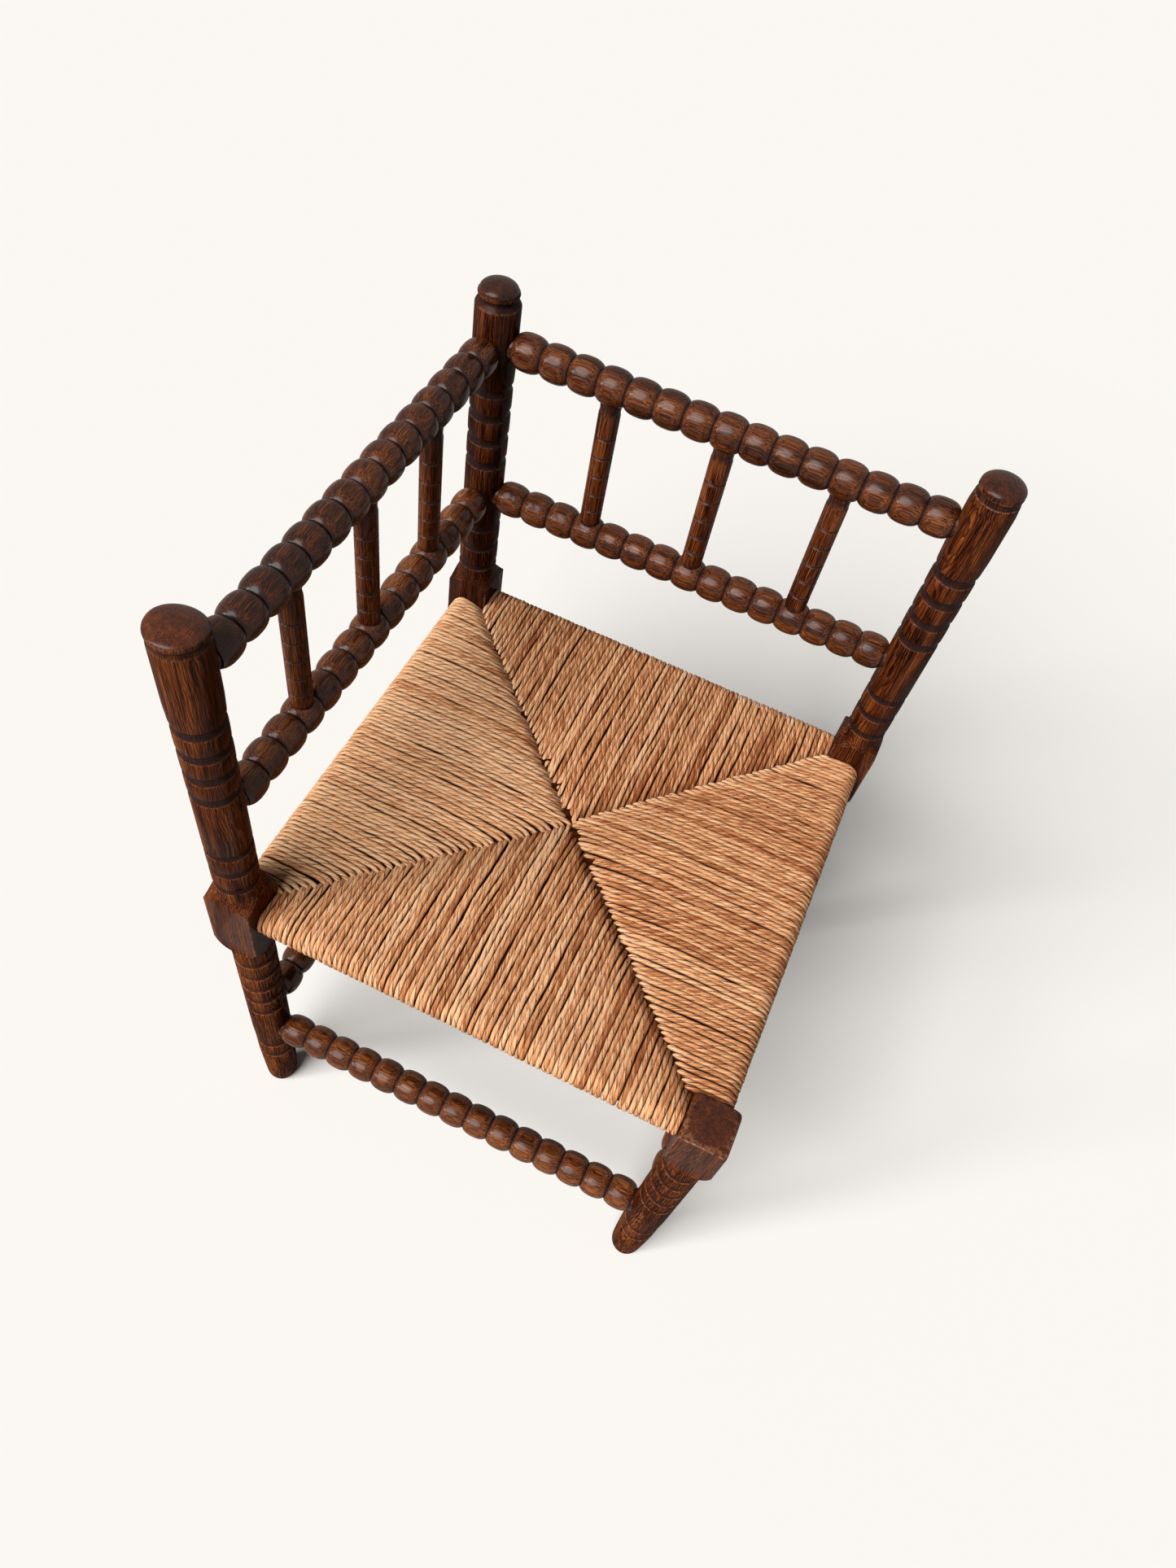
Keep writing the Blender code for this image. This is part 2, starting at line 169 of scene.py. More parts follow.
# Its rim: the bevel and how deep edges of the rim lie; then the frame on each block's faces
RIM_BEVEL = 0.0011
RIM_DEPTH = 0.008
FACE_FRAME = 0.0012
# Heights above which posts show their end grain
FRONT_END_Z = FRONT_BLOCK_TOP_Z - 0.0005
CAP_END_Z = CAP_RIM_Z + 0.0002

# Beaded rails: how far a neck enters its post, the line scribed on a bead, where wax starts
# to lie, how uneven the beads are, and the places of a bead's points
BEAD_SEED = 70
RUN_IN = 0.007
SCRIBE_SHARE = 0.67
SCRIBE_DEPTH = 0.0001
SCRIBE_WAX = 0.45
WAX_FROM_SHARE = 0.78
PLACE_CHANCE = 0.0002
SIZE_CHANCE = (-0.00018, 0.00008)
BEAD_SHARES = (
    -0.985, -0.95, -0.9, -0.82, -0.7, -0.5, -0.26, 0, 0.26, 0.5, 0.64, SCRIBE_SHARE, 0.7,
    0.82, 0.9, 0.95, 0.985
)

# Rails: their sides, the part of the posts between which they run, and whether they are scribed
RAILS = (
    ("top_rail", ("back", "left"), "post_radius", False),
    ("lower_rail", ("back", "left"), "shaft_radius", True),
    ("stretcher", ("back", "front", "left", "right"), "leg_radius", True),
)

# Spindles: how deep they enter the rails, the collar below the top rail, the scribed rings
# and the foot above the lower rail
SPINDLE_SEAT = 0.009
SPINDLE_STEPS = 32
COLLAR = (
    (0, -0.001, 0.8), (0.0003, 0.0015, 0.9), (0.0006, 0.004, 0.75), (0.0005, 0.007, 0.6),
    (0, 0.0095, 0.1),
)
SPINDLE_RING_SHARES = (0.25, 0.41, 0.57, 0.73, 0.88)
SPINDLE_RING = (
    (0, -0.0022), (0, -0.0014, 0.2, 0.7), (0.0006, -0.0008, 0.9), (0.0011, 0, 1),
    (0.0006, 0.0008, 0.9), (0, 0.0014, 0.3, 0.2), (0, 0.0022),
)
SPINDLE_FOOT = ((0, -0.003), (0.0003, 0, 0.7))

# Width of the tree's yearly rings, and how far and which way a piece lies from the tree's heart
YEAR_WIDTH = 0.0013
GRAIN_SEED = 41
RAIL_SEED = 10
SPINDLE_SEED = 31
HEART_NEAR = 0.045
HEART_FAR = 0.11
TREE_REACH = 9
HEART_TURNS = {"left": 0.0, "back": 2.6, "right": 3.9, "front": 1.2}

# Blocks: how far in from its faces, corners and rim a block counts as worn, how worn it is
# there, and how much calmer the grain is on its faces
EDGE_REACH = 0.0003
CORNER_REACH = 0.0002
CORNER_WEAR = 0.75
RIM_REACH = 0.0013
RIM_HEIGHT = 0.006
RIM_WEAR = 0.35
FRONT_RIM_SPARE = 0.001
BLOCK_ABOVE = 0.002
BLOCK_BELOW = 0.02
FACE_REACH = 0.003
BLOCK_CALM = 0.45

# Heights between which the posts gain their full shine
DULL_HEIGHTS = (0.3, 0.5)

# Points nearer to each other than this are one
MERGE = 0.00001
# Sawn blocks: how near to a corner a point counts as on it, and the least area of a block's face
CORNER_NEAR = 0.0001
LEAST_FACE = 0.0002

# Angles between faces up to which they look smooth
SMOOTH_TURNED = math.radians(38)
SMOOTH_BEADS = math.radians(50)
SMOOTH_STRANDS = math.radians(75)
SMOOTH_PAD = math.radians(60)

# Pieces that are lighter or darker than the rest
LIGHTNESS = {
    "left_post": 0.02,
    "back_post": -0.26,
    "right_post": -0.16,
    "front_post": -0.05,
    "left_top_rail": -0.25,
    "back_top_rail": -0.15,
    "back_lower_rail": -0.11,
    "front_stretcher": 0.02,
    "left_stretcher": -0.05,
}


def tone(red, green, blue):
    """Linear colour of a screen colour given from 0 to 255."""
    def linear(value):
        share = value / 255
        return share / 12.92 if share <= 0.04045 else ((share + 0.055) / 1.055) ** 2.4

    return (linear(red), linear(green), linear(blue))


def length(name, description, default):
    """Length property in metres."""
    return bpy.props.FloatProperty(
        name=name, description=description, default=default, min=0, unit="LENGTH", precision=5
    )


def colour(name, description, default):
    """Colour property."""
    return bpy.props.FloatVectorProperty(
        name=name, description=description, default=default, subtype="COLOR", min=0, max=1, size=3
    )


def whole_number(name, description, default, low, high):
    """Whole number between two limits."""
    return bpy.props.IntProperty(
        name=name, description=description, default=default, min=low, max=high
    )


def amount(name, description, default):
    """Strength of a light, or a share."""
    return bpy.props.FloatProperty(name=name, description=description, default=default, min=0)


class ChairTurning(bpy.types.PropertyGroup):
    """Sizes of the turned posts."""

    stock_width: length("Stock width", "Width of the square blocks", width("post_left"))
    post_radius: length("Post radius", "Radius of a post at the top rail", 0.0195)
    shaft_radius: length("Shaft radius", "Radius of the ringed shaft", 0.0187)
    leg_radius: length("Leg radius", "Radius of the leg under the block", 0.0191)
    ankle_radius: length("Ankle radius", "Radius of the leg near the floor", 0.0184)
    ring_width: length("Ring width", "Width of a turned groove", 0.0092)
    ring_depth: length("Ring depth", "Depth of a turned groove", 0.0015)
    leg_ring_width: length("Leg ring width", "Width of a groove of the leg", 0.0082)
    leg_ring_depth: length("Leg ring depth", "Depth of a groove of the leg", 0.0021)
    edge: length("Block edge", "Rounding of a block's upright edges", 0.0009)
    steps: whole_number("Steps", "Faces round a post", 64, 16, 128)


class ChairRails(bpy.types.PropertyGroup):
    """Sizes of the beaded rails and the spindles."""

    bead_radius: length("Bead radius", "Radius of a bead", 0.0161)
    groove_radius: length("Groove radius", "Radius between two beads", 0.0118)
    neck_radius: length("Neck radius", "Radius where a rail enters a post", 0.0112)
    bead_count: whole_number("Beads", "Beads on a rail", 15, 3, 40)
    spindle_radius: length("Spindle radius", "Radius of a spindle", 0.0096)
    steps: whole_number("Steps", "Faces round a rail", 40, 12, 96)


class ChairRush(bpy.types.PropertyGroup):
    """Sizes of the rush seat."""

    strand_count: whole_number("Strands", "Strands on a side", 80, 9, 120)
    roll_radius: length("Roll radius", "Radius of the rush round a seat rail", 0.0142)
    thickness: length("Thickness", "Thickness of a strand", 0.0047)
    twist_length: length("Twist length", "Length in which a strand twists once", 0.037)


class ChairWood(bpy.types.PropertyGroup):
    """Colours of the stained oak."""

    deep: colour("Deep", "Darkest grain", tone(20, 7, 4))
    brown: colour("Brown", "Common colour of the stain", tone(80, 35, 15))
    warm: colour("Warm", "Lighter grain", tone(124, 64, 29))
    bright: colour("Bright", "Brightest grain", tone(164, 100, 54))
    wax: colour("Wax", "Old wax in the grooves", tone(40, 27, 27))
    bare: colour("Bare", "Bare wood on worn edges", tone(170, 118, 88))


class ChairReed(bpy.types.PropertyGroup):
    """Colours of the rush and of the plain seat rails."""

    straw: colour("Straw", "Palest strands", tone(255, 203, 156))
    gold: colour("Gold", "Common strands", tone(238, 167, 113))
    russet: colour("Russet", "Brownest strands", tone(156, 86, 50))
    # Colour of the painted shade between strands, in the leaf seams and on the stuffing
    gap: colour("Painted gap shade", "Between the strands", tone(72, 34, 16))
    rail: colour("Seat rail", "Plain wood inside the rush", tone(96, 66, 42))


class ChairStage(bpy.types.PropertyGroup):
    """Floor and lights."""

    floor: colour("Floor", "Colour of the floor", tone(250, 247, 242))
    key: amount("Key light", "Strength of the broad soft light", 3.88)
    glint: amount("Glint", "Strength of the smaller light", 0.75)
    dome: amount("Dome", "Strength of the light from all round", 0.055)
    bounce: amount("Bounce", "Share of the light that the floor throws back", 0.1)


def deselect():
    """Leave edit mode and select nothing."""
    if bpy.context.mode != "OBJECT":
        bpy.ops.object.mode_set(mode="OBJECT")
    bpy.ops.object.select_all(action="DESELECT")


def pick(item):
    """Select one object only and make it the active one."""
    deselect()
    item.select_set(True)
    bpy.context.view_layer.objects.active = item


def select_where(item, kind, test):
    """In edit mode, select only the vertices, edges or faces for which the test holds."""
    bpy.ops.mesh.select_mode(type=kind)
    bpy.ops.mesh.select_all(action="DESELECT")
    shape = bmesh.from_edit_mesh(item.data)
    parts = {"VERT": shape.verts, "EDGE": shape.edges, "FACE": shape.faces}[kind]
    found = 0
    for part in parts:
        if test(part):
            part.select_set(True)
            found += 1
    shape.select_flush_mode()
    bmesh.update_edit_mesh(item.data)
    return found


def weld_points():
    """Join points that meet, turn all faces outwards and leave edit mode."""
    bpy.ops.mesh.select_all(action="SELECT")
    bpy.ops.mesh.remove_doubles(threshold=MERGE)
    bpy.ops.mesh.normals_make_consistent(inside=False)
    bpy.ops.object.mode_set(mode="OBJECT")


def spin_outline(name, outline, steps):
    """Draw an outline of (radius, height, ...) points point by point and spin it round Z."""
    deselect()
    radius, height = outline[0][:2]
    bpy.ops.mesh.primitive_plane_add(size=0.01, location=(radius, 0, height))
    item = bpy.context.object
    item.name = name
    item.data.name = name
    bpy.ops.object.transform_apply(location=True, rotation=True, scale=True)
    bpy.ops.object.mode_set(mode="EDIT")
    bpy.ops.mesh.select_mode(type="VERT")
    bpy.ops.mesh.select_all(action="SELECT")
    bpy.ops.mesh.merge(type="CENTER")
    for point in outline[1:]:
        step = (point[0] - radius, 0, point[1] - height)
        bpy.ops.mesh.extrude_vertices_move(TRANSFORM_OT_translate={"value": step})
        radius, height = point[:2]
    bpy.ops.mesh.select_all(action="SELECT")
    bpy.ops.mesh.spin(steps=steps, angle=FULL_TURN, center=(0, 0, 0), axis=(0, 0, 1))
    weld_points()
    return item


def vertex_places(mesh):
    """Coordinates of a mesh's vertices as an array."""
    places = np.empty(len(mesh.vertices) * 3)
    mesh.vertices.foreach_get("co", places)
    return places.reshape(-1, 3)


def store(mesh, name, values, kind="FLOAT"):
    """Keep one value or vector per vertex for the materials."""
    attribute = mesh.attributes.new(name, kind, "POINT")
    key = "vector" if kind == "FLOAT_VECTOR" else "value"
    attribute.data.foreach_set(key, np.asarray(values, dtype=np.float32).ravel())


def heart_offset(seed, turn=None):
    """Where a piece's own axis lies in the tree, with the heart of the tree at zero."""
    chance = random.Random(GRAIN_SEED + seed)
    angle = chance.uniform(0, FULL_TURN) if turn is None else turn
    reach = chance.uniform(HEART_NEAR, HEART_FAR)
    along = chance.uniform(-TREE_REACH, TREE_REACH)
    return np.array([reach * math.cos(angle), reach * math.sin(angle), along])


def keep_surface(item, outline, offset, end_z=math.inf):
    """Store grain place, end grain and lightness, and the outline's own crevices and wear."""
    places = vertex_places(item.data)
    radii = np.hypot(places[:, 0], places[:, 1])
    points = np.array(outline)
    apart = (radii[:, None] - points[:, 0]) ** 2 + (places[:, 2][:, None] - points[:, 1]) ** 2
    nearest = apart.argmin(axis=1)
    store(item.data, "grain", places + offset, "FLOAT_VECTOR")
    store(item.data, "crevice", points[nearest, 2])
    store(item.data, "worn", points[nearest, 3])
    store(item.data, "end_grain", (places[:, 2] > end_z).astype(float))
    store(item.data, "lightness", np.full(len(places), LIGHTNESS.get(item.name, 0.0)))


def set_down(item, place, axis="Z"):
    """Turn a piece made along Z to its axis, move it there and apply both to its mesh."""
    pick(item)
    if axis == "X":
        item.rotation_euler = (0, QUARTER, 0)
    if axis == "Y":
        item.rotation_euler = (-QUARTER, 0, 0)
    item.location = place
    bpy.ops.object.transform_apply(location=True, rotation=True, scale=True)


def finish_piece(item, material, nodes, angle=SMOOTH_TURNED):
    """Shade a piece, give it its material, and tie it to the packed model."""
    pick(item)
    bpy.ops.object.shade_smooth_by_angle(angle=angle)
    item.data.materials.clear()
    item.data.materials.append(material)
    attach(item, BODY)
    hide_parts(*nodes)


def plain(radius, height, crevice=0.0, worn=0.0):
    """One point of an outline."""
    return (radius, height, crevice, worn)


def below(radius, height, rows):
    """Points of an outline, each an inset from a radius and a drop from a height."""
    return [plain(radius - inset, height - drop, *marks) for inset, drop, *marks in rows]


def quarter_arc(start, end, steps, crevice=0.0):
    """Quarter of an ellipse that leaves its start along Z and comes to its end level."""
    points = []
    for step in range(steps + 1):
        angle = QUARTER * step / steps
        radius = end[0] + (start[0] - end[0]) * math.cos(angle)
        height = start[1] + (end[1] - start[1]) * math.sin(angle)
        points.append(plain(radius, height, crevice))
    return points


def roundness(share):
    """1 in the middle of a bead or groove and 0 at both ends, at -1 and 1."""
    return 1 - abs(share) ** ROUNDNESS


def ring_groove(radius, height, span, depth, dark, lip):
    """Shallow turned groove between two crisp lips, from top to bottom."""
    points = [plain(radius, height + span / 2 + RING_LIP)]
    for step in range(RING_STEPS + 1):
        share = 1 - 2 * step / RING_STEPS
        deep = roundness(share)
        fall = depth * (RING_EASE + (1 - RING_EASE) * deep**FULLNESS)
        edge = lip if abs(share) == 1 else 0.0
        crevice = dark * min(1, 3 * deep) ** 0.5
        points.append(plain(radius - fall, height + share * span / 2, crevice, edge))
    points.append(plain(radius, height - span / 2 - RING_LIP))
    return points


def ring_row(radius, top, pitch, count, span, depth, dark=1.0, lip=0.55):
    """Row of turned grooves with slightly swelling wood between them."""
    points = []
    for index in range(count):
        height = top - index * pitch
        points += ring_groove(radius, height, span, depth, dark, lip)
        if index < count - 1:
            points.append(plain(radius + RING_SWELL, height - pitch / 2))
    return points


def cap(side, sizes):
    """Dome of a tall post and the turned lines below its rim."""
    inset, dome, rows = CAPS[side]
    arc = quarter_arc((sizes.post_radius - inset, CAP_RIM_Z), (0, CAP_RIM_Z + dome), CAP_STEPS)
    return arc[::-1] + below(sizes.post_radius, CAP_RIM_Z, rows)


def shaft(sizes):
    """Shaft from the top rail down to the cove over the block."""
    radius = sizes.shaft_radius
    span, depth = sizes.ring_width, sizes.ring_depth
    step_z = UPPER_RING_Z + span / 2 + SHAFT_STEP
    points = [plain(sizes.post_radius, step_z + SHAFT_SHOULDER)]
    points.append(plain(radius + SHAFT_LIP, step_z, 0.15))
    points += ring_row(radius, UPPER_RING_Z, SHAFT_RING_PITCH, UPPER_RINGS, span, depth)
    points.append(plain(radius, LOWER_RAIL_Z))
    span *= LOWER_RING_SHARE
    points += ring_row(radius, LOWER_RING_Z, SHAFT_RING_PITCH, LOWER_RINGS, span, depth)
    return points


def block_reach(sizes):
    """Radius that is just wider than the square stock's corners, so that it can be sawn square."""
    return sizes.stock_width / 2 * math.sqrt(2) + CORNER_SPARE


def leg(sizes):
    """Rounded shoulder, ringed leg, plainer ankle and tapered foot."""
    shoulder_z = BLOCK_BOTTOM_Z - SHOULDER_HEIGHT
    grooves = (sizes.leg_ring_width, sizes.leg_ring_depth, *LEG_RING_MARKS)
    toe = sizes.ankle_radius - TOE_TAPER
    start = (block_reach(sizes), BLOCK_BOTTOM_Z)
    points = quarter_arc(start, (sizes.leg_radius, shoulder_z), SHOULDER_STEPS)
    points[-1] = plain(sizes.leg_radius, shoulder_z, 0.8)
    rings = ring_row(sizes.leg_radius, LEG_RING_Z, LEG_RING_PITCH, LEG_RINGS, *grooves)
    points += [point for point in rings if point[1] < shoulder_z - SHAFT_LIP]
    points.append(plain(sizes.leg_radius, STRETCHER_Y_Z))
    points.append(plain(sizes.leg_radius, STRETCHER_X_Z))
    points += ring_row(sizes.ankle_radius, ANKLE_RING_Z, LEG_RING_PITCH, ANKLE_RINGS, *grooves)
    points.append(plain(sizes.ankle_radius - ANKLE_TAPER, TOE_HEIGHT * 2))
    points += quarter_arc((toe, TOE_HEIGHT), (toe - SOLE_ROUNDING, 0), TOE_STEPS)
    points[-2] = points[-2][:3] + (0.8,)
    points.append(plain(0, 0))
    return points


def post_outline(side, sizes):
    """Whole outline of a post, top to bottom: the front one starts with its crowned block."""
    reach = block_reach(sizes)
    if side == "front":
        crown = []
        for share in CROWN_SHARES:
            height = FRONT_BLOCK_TOP_Z + FRONT_CROWN * (CROWN_LIFT_SHARE - share**2)
            crown.append(plain(reach * share, height))
        return crown + leg(sizes)
    neck = (sizes.shaft_radius - NECK_INSET, BLOCK_TOP_Z + COVE_HEIGHT)
    cove = quarter_arc(neck, (reach, BLOCK_TOP_Z), COVE_STEPS, 0.12)
    return cap(side, sizes) + shaft(sizes) + cove + leg(sizes)


def bead_profile(sizes, rail_length, scribed, chance):
    """Outline of a beaded rail along Z, with a neck that enters the post at each end."""
    end = rail_length / 2
    pitch = rail_length / sizes.bead_count
    low, neck = sizes.groove_radius, sizes.neck_radius
    points = [plain(0, end + RUN_IN), plain(neck, end + RUN_IN), plain(neck, end, 1)]
    for bead in range(sizes.bead_count):
        centre = end - (bead + 0.5) * pitch + chance.uniform(-PLACE_CHANCE, PLACE_CHANCE)
        top = sizes.bead_radius + chance.uniform(*SIZE_CHANCE)
        points.append(plain(low, end - bead * pitch, 1))
        for share in BEAD_SHARES:
            radius = low + (top - low) * roundness(share) ** FULLNESS
            crevice = max(0, (abs(share) - WAX_FROM_SHARE) / (1 - WAX_FROM_SHARE))
            if scribed and share == SCRIBE_SHARE:
                radius -= SCRIBE_DEPTH
                crevice = SCRIBE_WAX
            points.append(plain(radius, centre - share * pitch / 2, crevice))
    points += [plain(low, -end, 1), plain(neck, -end, 1)]
    points += [plain(neck, -end - RUN_IN), plain(0, -end - RUN_IN)]
    return points


def spindle_profile(sizes):
    """Outline of a spindle with a dark collar under the top rail and scribed rings."""
    radius = sizes.spindle_radius
    top = TOP_RAIL_Z - sizes.bead_radius
    bottom = LOWER_RAIL_Z + sizes.bead_radius
    seats = (TOP_RAIL_Z - SPINDLE_SEAT, LOWER_RAIL_Z + SPINDLE_SEAT)
    points = [plain(0, seats[0]), plain(radius, seats[0])] + below(radius, top, COLLAR)
    for share in SPINDLE_RING_SHARES:
        points += below(radius, top + (bottom - top) * share, SPINDLE_RING)
    points += below(radius, bottom, SPINDLE_FOOT)
    return points + [plain(radius, seats[1], 1), plain(0, seats[1])]


def shaded(colour_value, share):
    """Share of a colour."""
    return [channel * share for channel in colour_value]


class Wiring:
    """Short ways to add nodes to one node tree and to join them."""

    def __init__(self, tree):
        self.tree = tree

    def feed(self, node, inputs):
        """Feed a node's inputs with values or with other nodes' outputs."""
        for key, value in inputs.items():
            if isinstance(value, bpy.types.NodeSocket):
                self.tree.links.new(value, node.inputs[key])
            else:
                node.inputs[key].default_value = value

    def add(self, kind, inputs=None, **settings):
        """Add a node, set it up, feed it and give its outputs."""
        node = self.tree.nodes.new("ShaderNode" + kind)
        for key, value in settings.items():
            setattr(node, key, value)
        self.feed(node, inputs or {})
        return node.outputs

    def math(self, operation, *values):
        """One step of arithmetic."""
        return self.add("Math", dict(enumerate(values)), operation=operation)[0]

    def plus(self, first, second):
        """Sum of two values."""
        return self.math("ADD", first, second)

    def times(self, first, second):
        """Product of two values."""
        return self.math("MULTIPLY", first, second)

    def times_plus(self, first, second, third):
        """Product of two values, and a third one added."""
        return self.math("MULTIPLY_ADD", first, second, third)

    def ramp(self, value, low, high, start=0.0, end=1.0):
        """Spread a span of values over another one, clamped."""
        return self.add("MapRange", {0: value, 1: low, 2: high, 3: start, 4: end}, clamp=True)[0]

    def mix(self, share, first, second):
        """Blend from one colour to another."""
        inputs = {0: share}
        for key, value in ((6, first), (7, second)):
            inputs[key] = value if isinstance(value, bpy.types.NodeSocket) else (*value, 1)
        return self.add("Mix", inputs, data_type="RGBA")[2]

    def noise(self, vector, scale, detail=2.0, roughness=0.5, output="Fac"):
        """Noise, stretched where its scale has three values."""
        if isinstance(scale, (tuple, list)):
            vector = self.add("VectorMath", {0: vector, 1: scale}, operation="MULTIPLY")[0]
            scale = 1.0
        inputs = {"Vector": vector, "Scale": scale, "Detail": detail, "Roughness": roughness}
        return self.add("TexNoise", inputs)[output]

    def stored(self, name, output="Fac"):
        """What a mesh keeps at each of its points."""
        return self.add("Attribute", attribute_name=name)[output]

    def place(self):
        """Place on the object."""
        return self.add("TexCoord")["Object"]

    def relief(self, height, distance, strength=1.0):
        """Normal of a surface with fine relief."""
        inputs = {"Height": height, "Distance": distance, "Strength": strength}
        return self.add("Bump", inputs)[0]

    def dress(self, base, roughness, normal=None, specular=0.0):
        """Feed the tree's shader and give it."""
        shader = self.tree.nodes["Principled BSDF"]
        inputs = {"Base Color": base, "Roughness": roughness, "Specular IOR Level": specular}
        if normal:
            inputs["Normal"] = normal
        self.feed(shader, inputs)
        return shader


FLOAT = "NodeSocketFloat"
VECTOR = "NodeSocketVector"
COLOUR = "NodeSocketColor"
SURFACE = {"Color": COLOUR, "Roughness": FLOAT, "Height": FLOAT}


def new_group(name, inputs):
    """Shader node group that makes a surface: its wiring, its inputs and its last node."""
    tree = bpy.data.node_groups.new(name, "ShaderNodeTree")
    for way, sockets in (("INPUT", inputs), ("OUTPUT", SURFACE)):
        for label, kind in sockets.items():
            tree.interface.new_socket(label, in_out=way, socket_type=kind)
    entry = tree.nodes.new("NodeGroupInput").outputs
    return Wiring(tree), entry, tree.nodes.new("NodeGroupOutput")


def new_material(name):
    """Material with only its shader, and the wiring of its tree."""
    material = bpy.data.materials.new(name)
    material.use_nodes = True
    return material, Wiring(material.node_tree)


OAK_SHADES = ("Deep", "Brown", "Warm", "Bright", "Wax", "Bare")


def oak_group():
    """Stained oak: growth rings, streaks, pores, wax in crevices and worn edges."""
    name = "Stained oak grain"
    if name in bpy.data.node_groups:
        return bpy.data.node_groups[name]
    values = ("Crevice", "Worn", "End grain", "Lightness", "Ring contrast")
    inputs = {"Grain": VECTOR} | dict.fromkeys(values, FLOAT) | dict.fromkeys(OAK_SHADES, COLOUR)
    net, entry, leave = new_group(name, inputs)
    grain, end, deep = entry["Grain"], entry["End grain"], entry["Deep"]

    sway = net.noise(grain, (24, 24, 7))
    ripple = net.noise(grain, (170, 170, 30), 3.0, 0.6)
    parts = net.add("SeparateXYZ", {0: grain})
    squares = net.times_plus(parts[1], parts[1], net.times(parts[0], parts[0]))
    reach = net.plus(net.math("SQRT", squares), net.ramp(sway, 0.2, 0.8, -0.006, 0.006))
    reach = net.plus(reach, net.ramp(ripple, 0.2, 0.8, -0.0007, 0.0007))
    year = net.math("FRACT", net.math("DIVIDE", reach, YEAR_WIDTH))
    early = net.ramp(year, 0.6, 0.05)
    late = net.ramp(year, 0.55, 0.95)

    waver = net.noise(grain, 45.0, output="Color")
    inputs = {0: waver, 1: (0.002, 0.002, 0.0), 2: grain}
    wavy = net.add("VectorMath", inputs, operation="MULTIPLY_ADD")[0]
    lines = net.noise(wavy, (1200, 1200, 16), 3.0, 0.62)
    dashes = net.noise(wavy, (2500, 2500, 70), 1.0)
    broad = net.noise(grain, (110, 110, 8))
    patch = net.noise(grain, (330, 330, 240), 4.0, 0.65)
    along = net.times_plus(end, -0.5, 1.0)
    pores = net.times(net.ramp(dashes, 0.55, 0.67), net.times_plus(early, 0.7, 0.3))
    pores = net.times(pores, along)
    dark_line = net.times(net.ramp(lines, 0.47, 0.36), along)

    value = net.ramp(lines, 0.36, 0.66, -0.3, 0.3)
    value = net.plus(value, net.ramp(broad, 0.3, 0.7, -0.26, 0.26))
    value = net.plus(value, net.ramp(dashes, 0.3, 0.7, 0.1, -0.1))
    rings = net.times_plus(late, 0.4, net.times(early, -1.0))
    value = net.times(net.times_plus(rings, entry["Ring contrast"], value), along)
    value = net.times_plus(end, net.ramp(patch, 0.25, 0.75, -0.3, 0.06), value)
    value = net.plus(value, net.plus(entry["Lightness"], 0.58))

    base = net.mix(net.ramp(value, 0.0, 0.42), deep, entry["Brown"])
    base = net.mix(net.ramp(value, 0.42, 0.78), base, entry["Warm"])
    base = net.mix(net.ramp(value, 0.78, 1.15), base, entry["Bright"])
    base = net.mix(net.times(dark_line, 0.65), base, deep)
    base = net.mix(net.times(pores, 0.5), base, deep)
    wax = net.times(entry["Crevice"], net.ramp(patch, 0.28, 0.6, 0.7, 1))
    base = net.mix(net.times(wax, 0.9), base, entry["Wax"])
    rub = net.times(entry["Worn"], net.ramp(patch, 0.42, 0.62))
    base = net.mix(net.times(rub, 0.7), base, entry["Bare"])

    gloss = net.times_plus(pores, 0.2, net.ramp(patch, 0.25, 0.75, 0.2, 0.36))
    height = net.times_plus(dark_line, -0.5, net.times(pores, -0.7))
    height = net.times_plus(patch, 0.5, height)
    height = net.times_plus(net.times(wax, patch), 1.2, height)
    net.feed(leave, {"Color": base, "Roughness": gloss, "Height": height})
    return net.tree


# Each oak: lightness, contrast of its yearly rings, tint, depth of its relief, its shine and
# how much of the shine is left near the floor
OAKS = {
    "post_oak": (0.0, 0.3, (1, 1, 1), 0.0003, 0.11, 0.5),
    "rail_oak": (0.04, 0.16, (1, 1.1, 1.12), 0.00024, 0.4, 1.0),
    "spindle_oak": (0.02, 0.3, (1, 1, 1), 0.00026, 0.2, 1.0),
}


def oak_material(name, wood):
    """One of the chair's stained oaks, waxed and duller near the floor."""
    lightness, contrast, tint, bump, shine, dull = OAKS[name]
    material, net = new_material(name)
    end = net.stored("end_grain")
    inputs = {
        "Grain": net.stored("grain", "Vector"),
        "Crevice": net.stored("crevice"),
        "Worn": net.stored("worn"),
        "End grain": end,
        "Lightness": net.plus(net.stored("lightness"), lightness),
        "Ring contrast": contrast,
    }
    for label in OAK_SHADES:
        shade = getattr(wood, label.lower())
        inputs[label] = (*[part * share for part, share in zip(shade, tint)], 1)
    grain = net.add("Group", inputs, node_tree=oak_group())
    height = net.add("SeparateXYZ", {0: net.place()})[2]
    polish = net.ramp(height, *DULL_HEIGHTS, shine * dull, shine)
    shader = net.dress(grain["Color"], grain["Roughness"], net.relief(grain["Height"], bump, 0.8))
    coat = {"Coat Roughness": 0.24, "Coat Weight": net.times_plus(end, 0.3, polish)}
    net.feed(shader, coat)
    return material


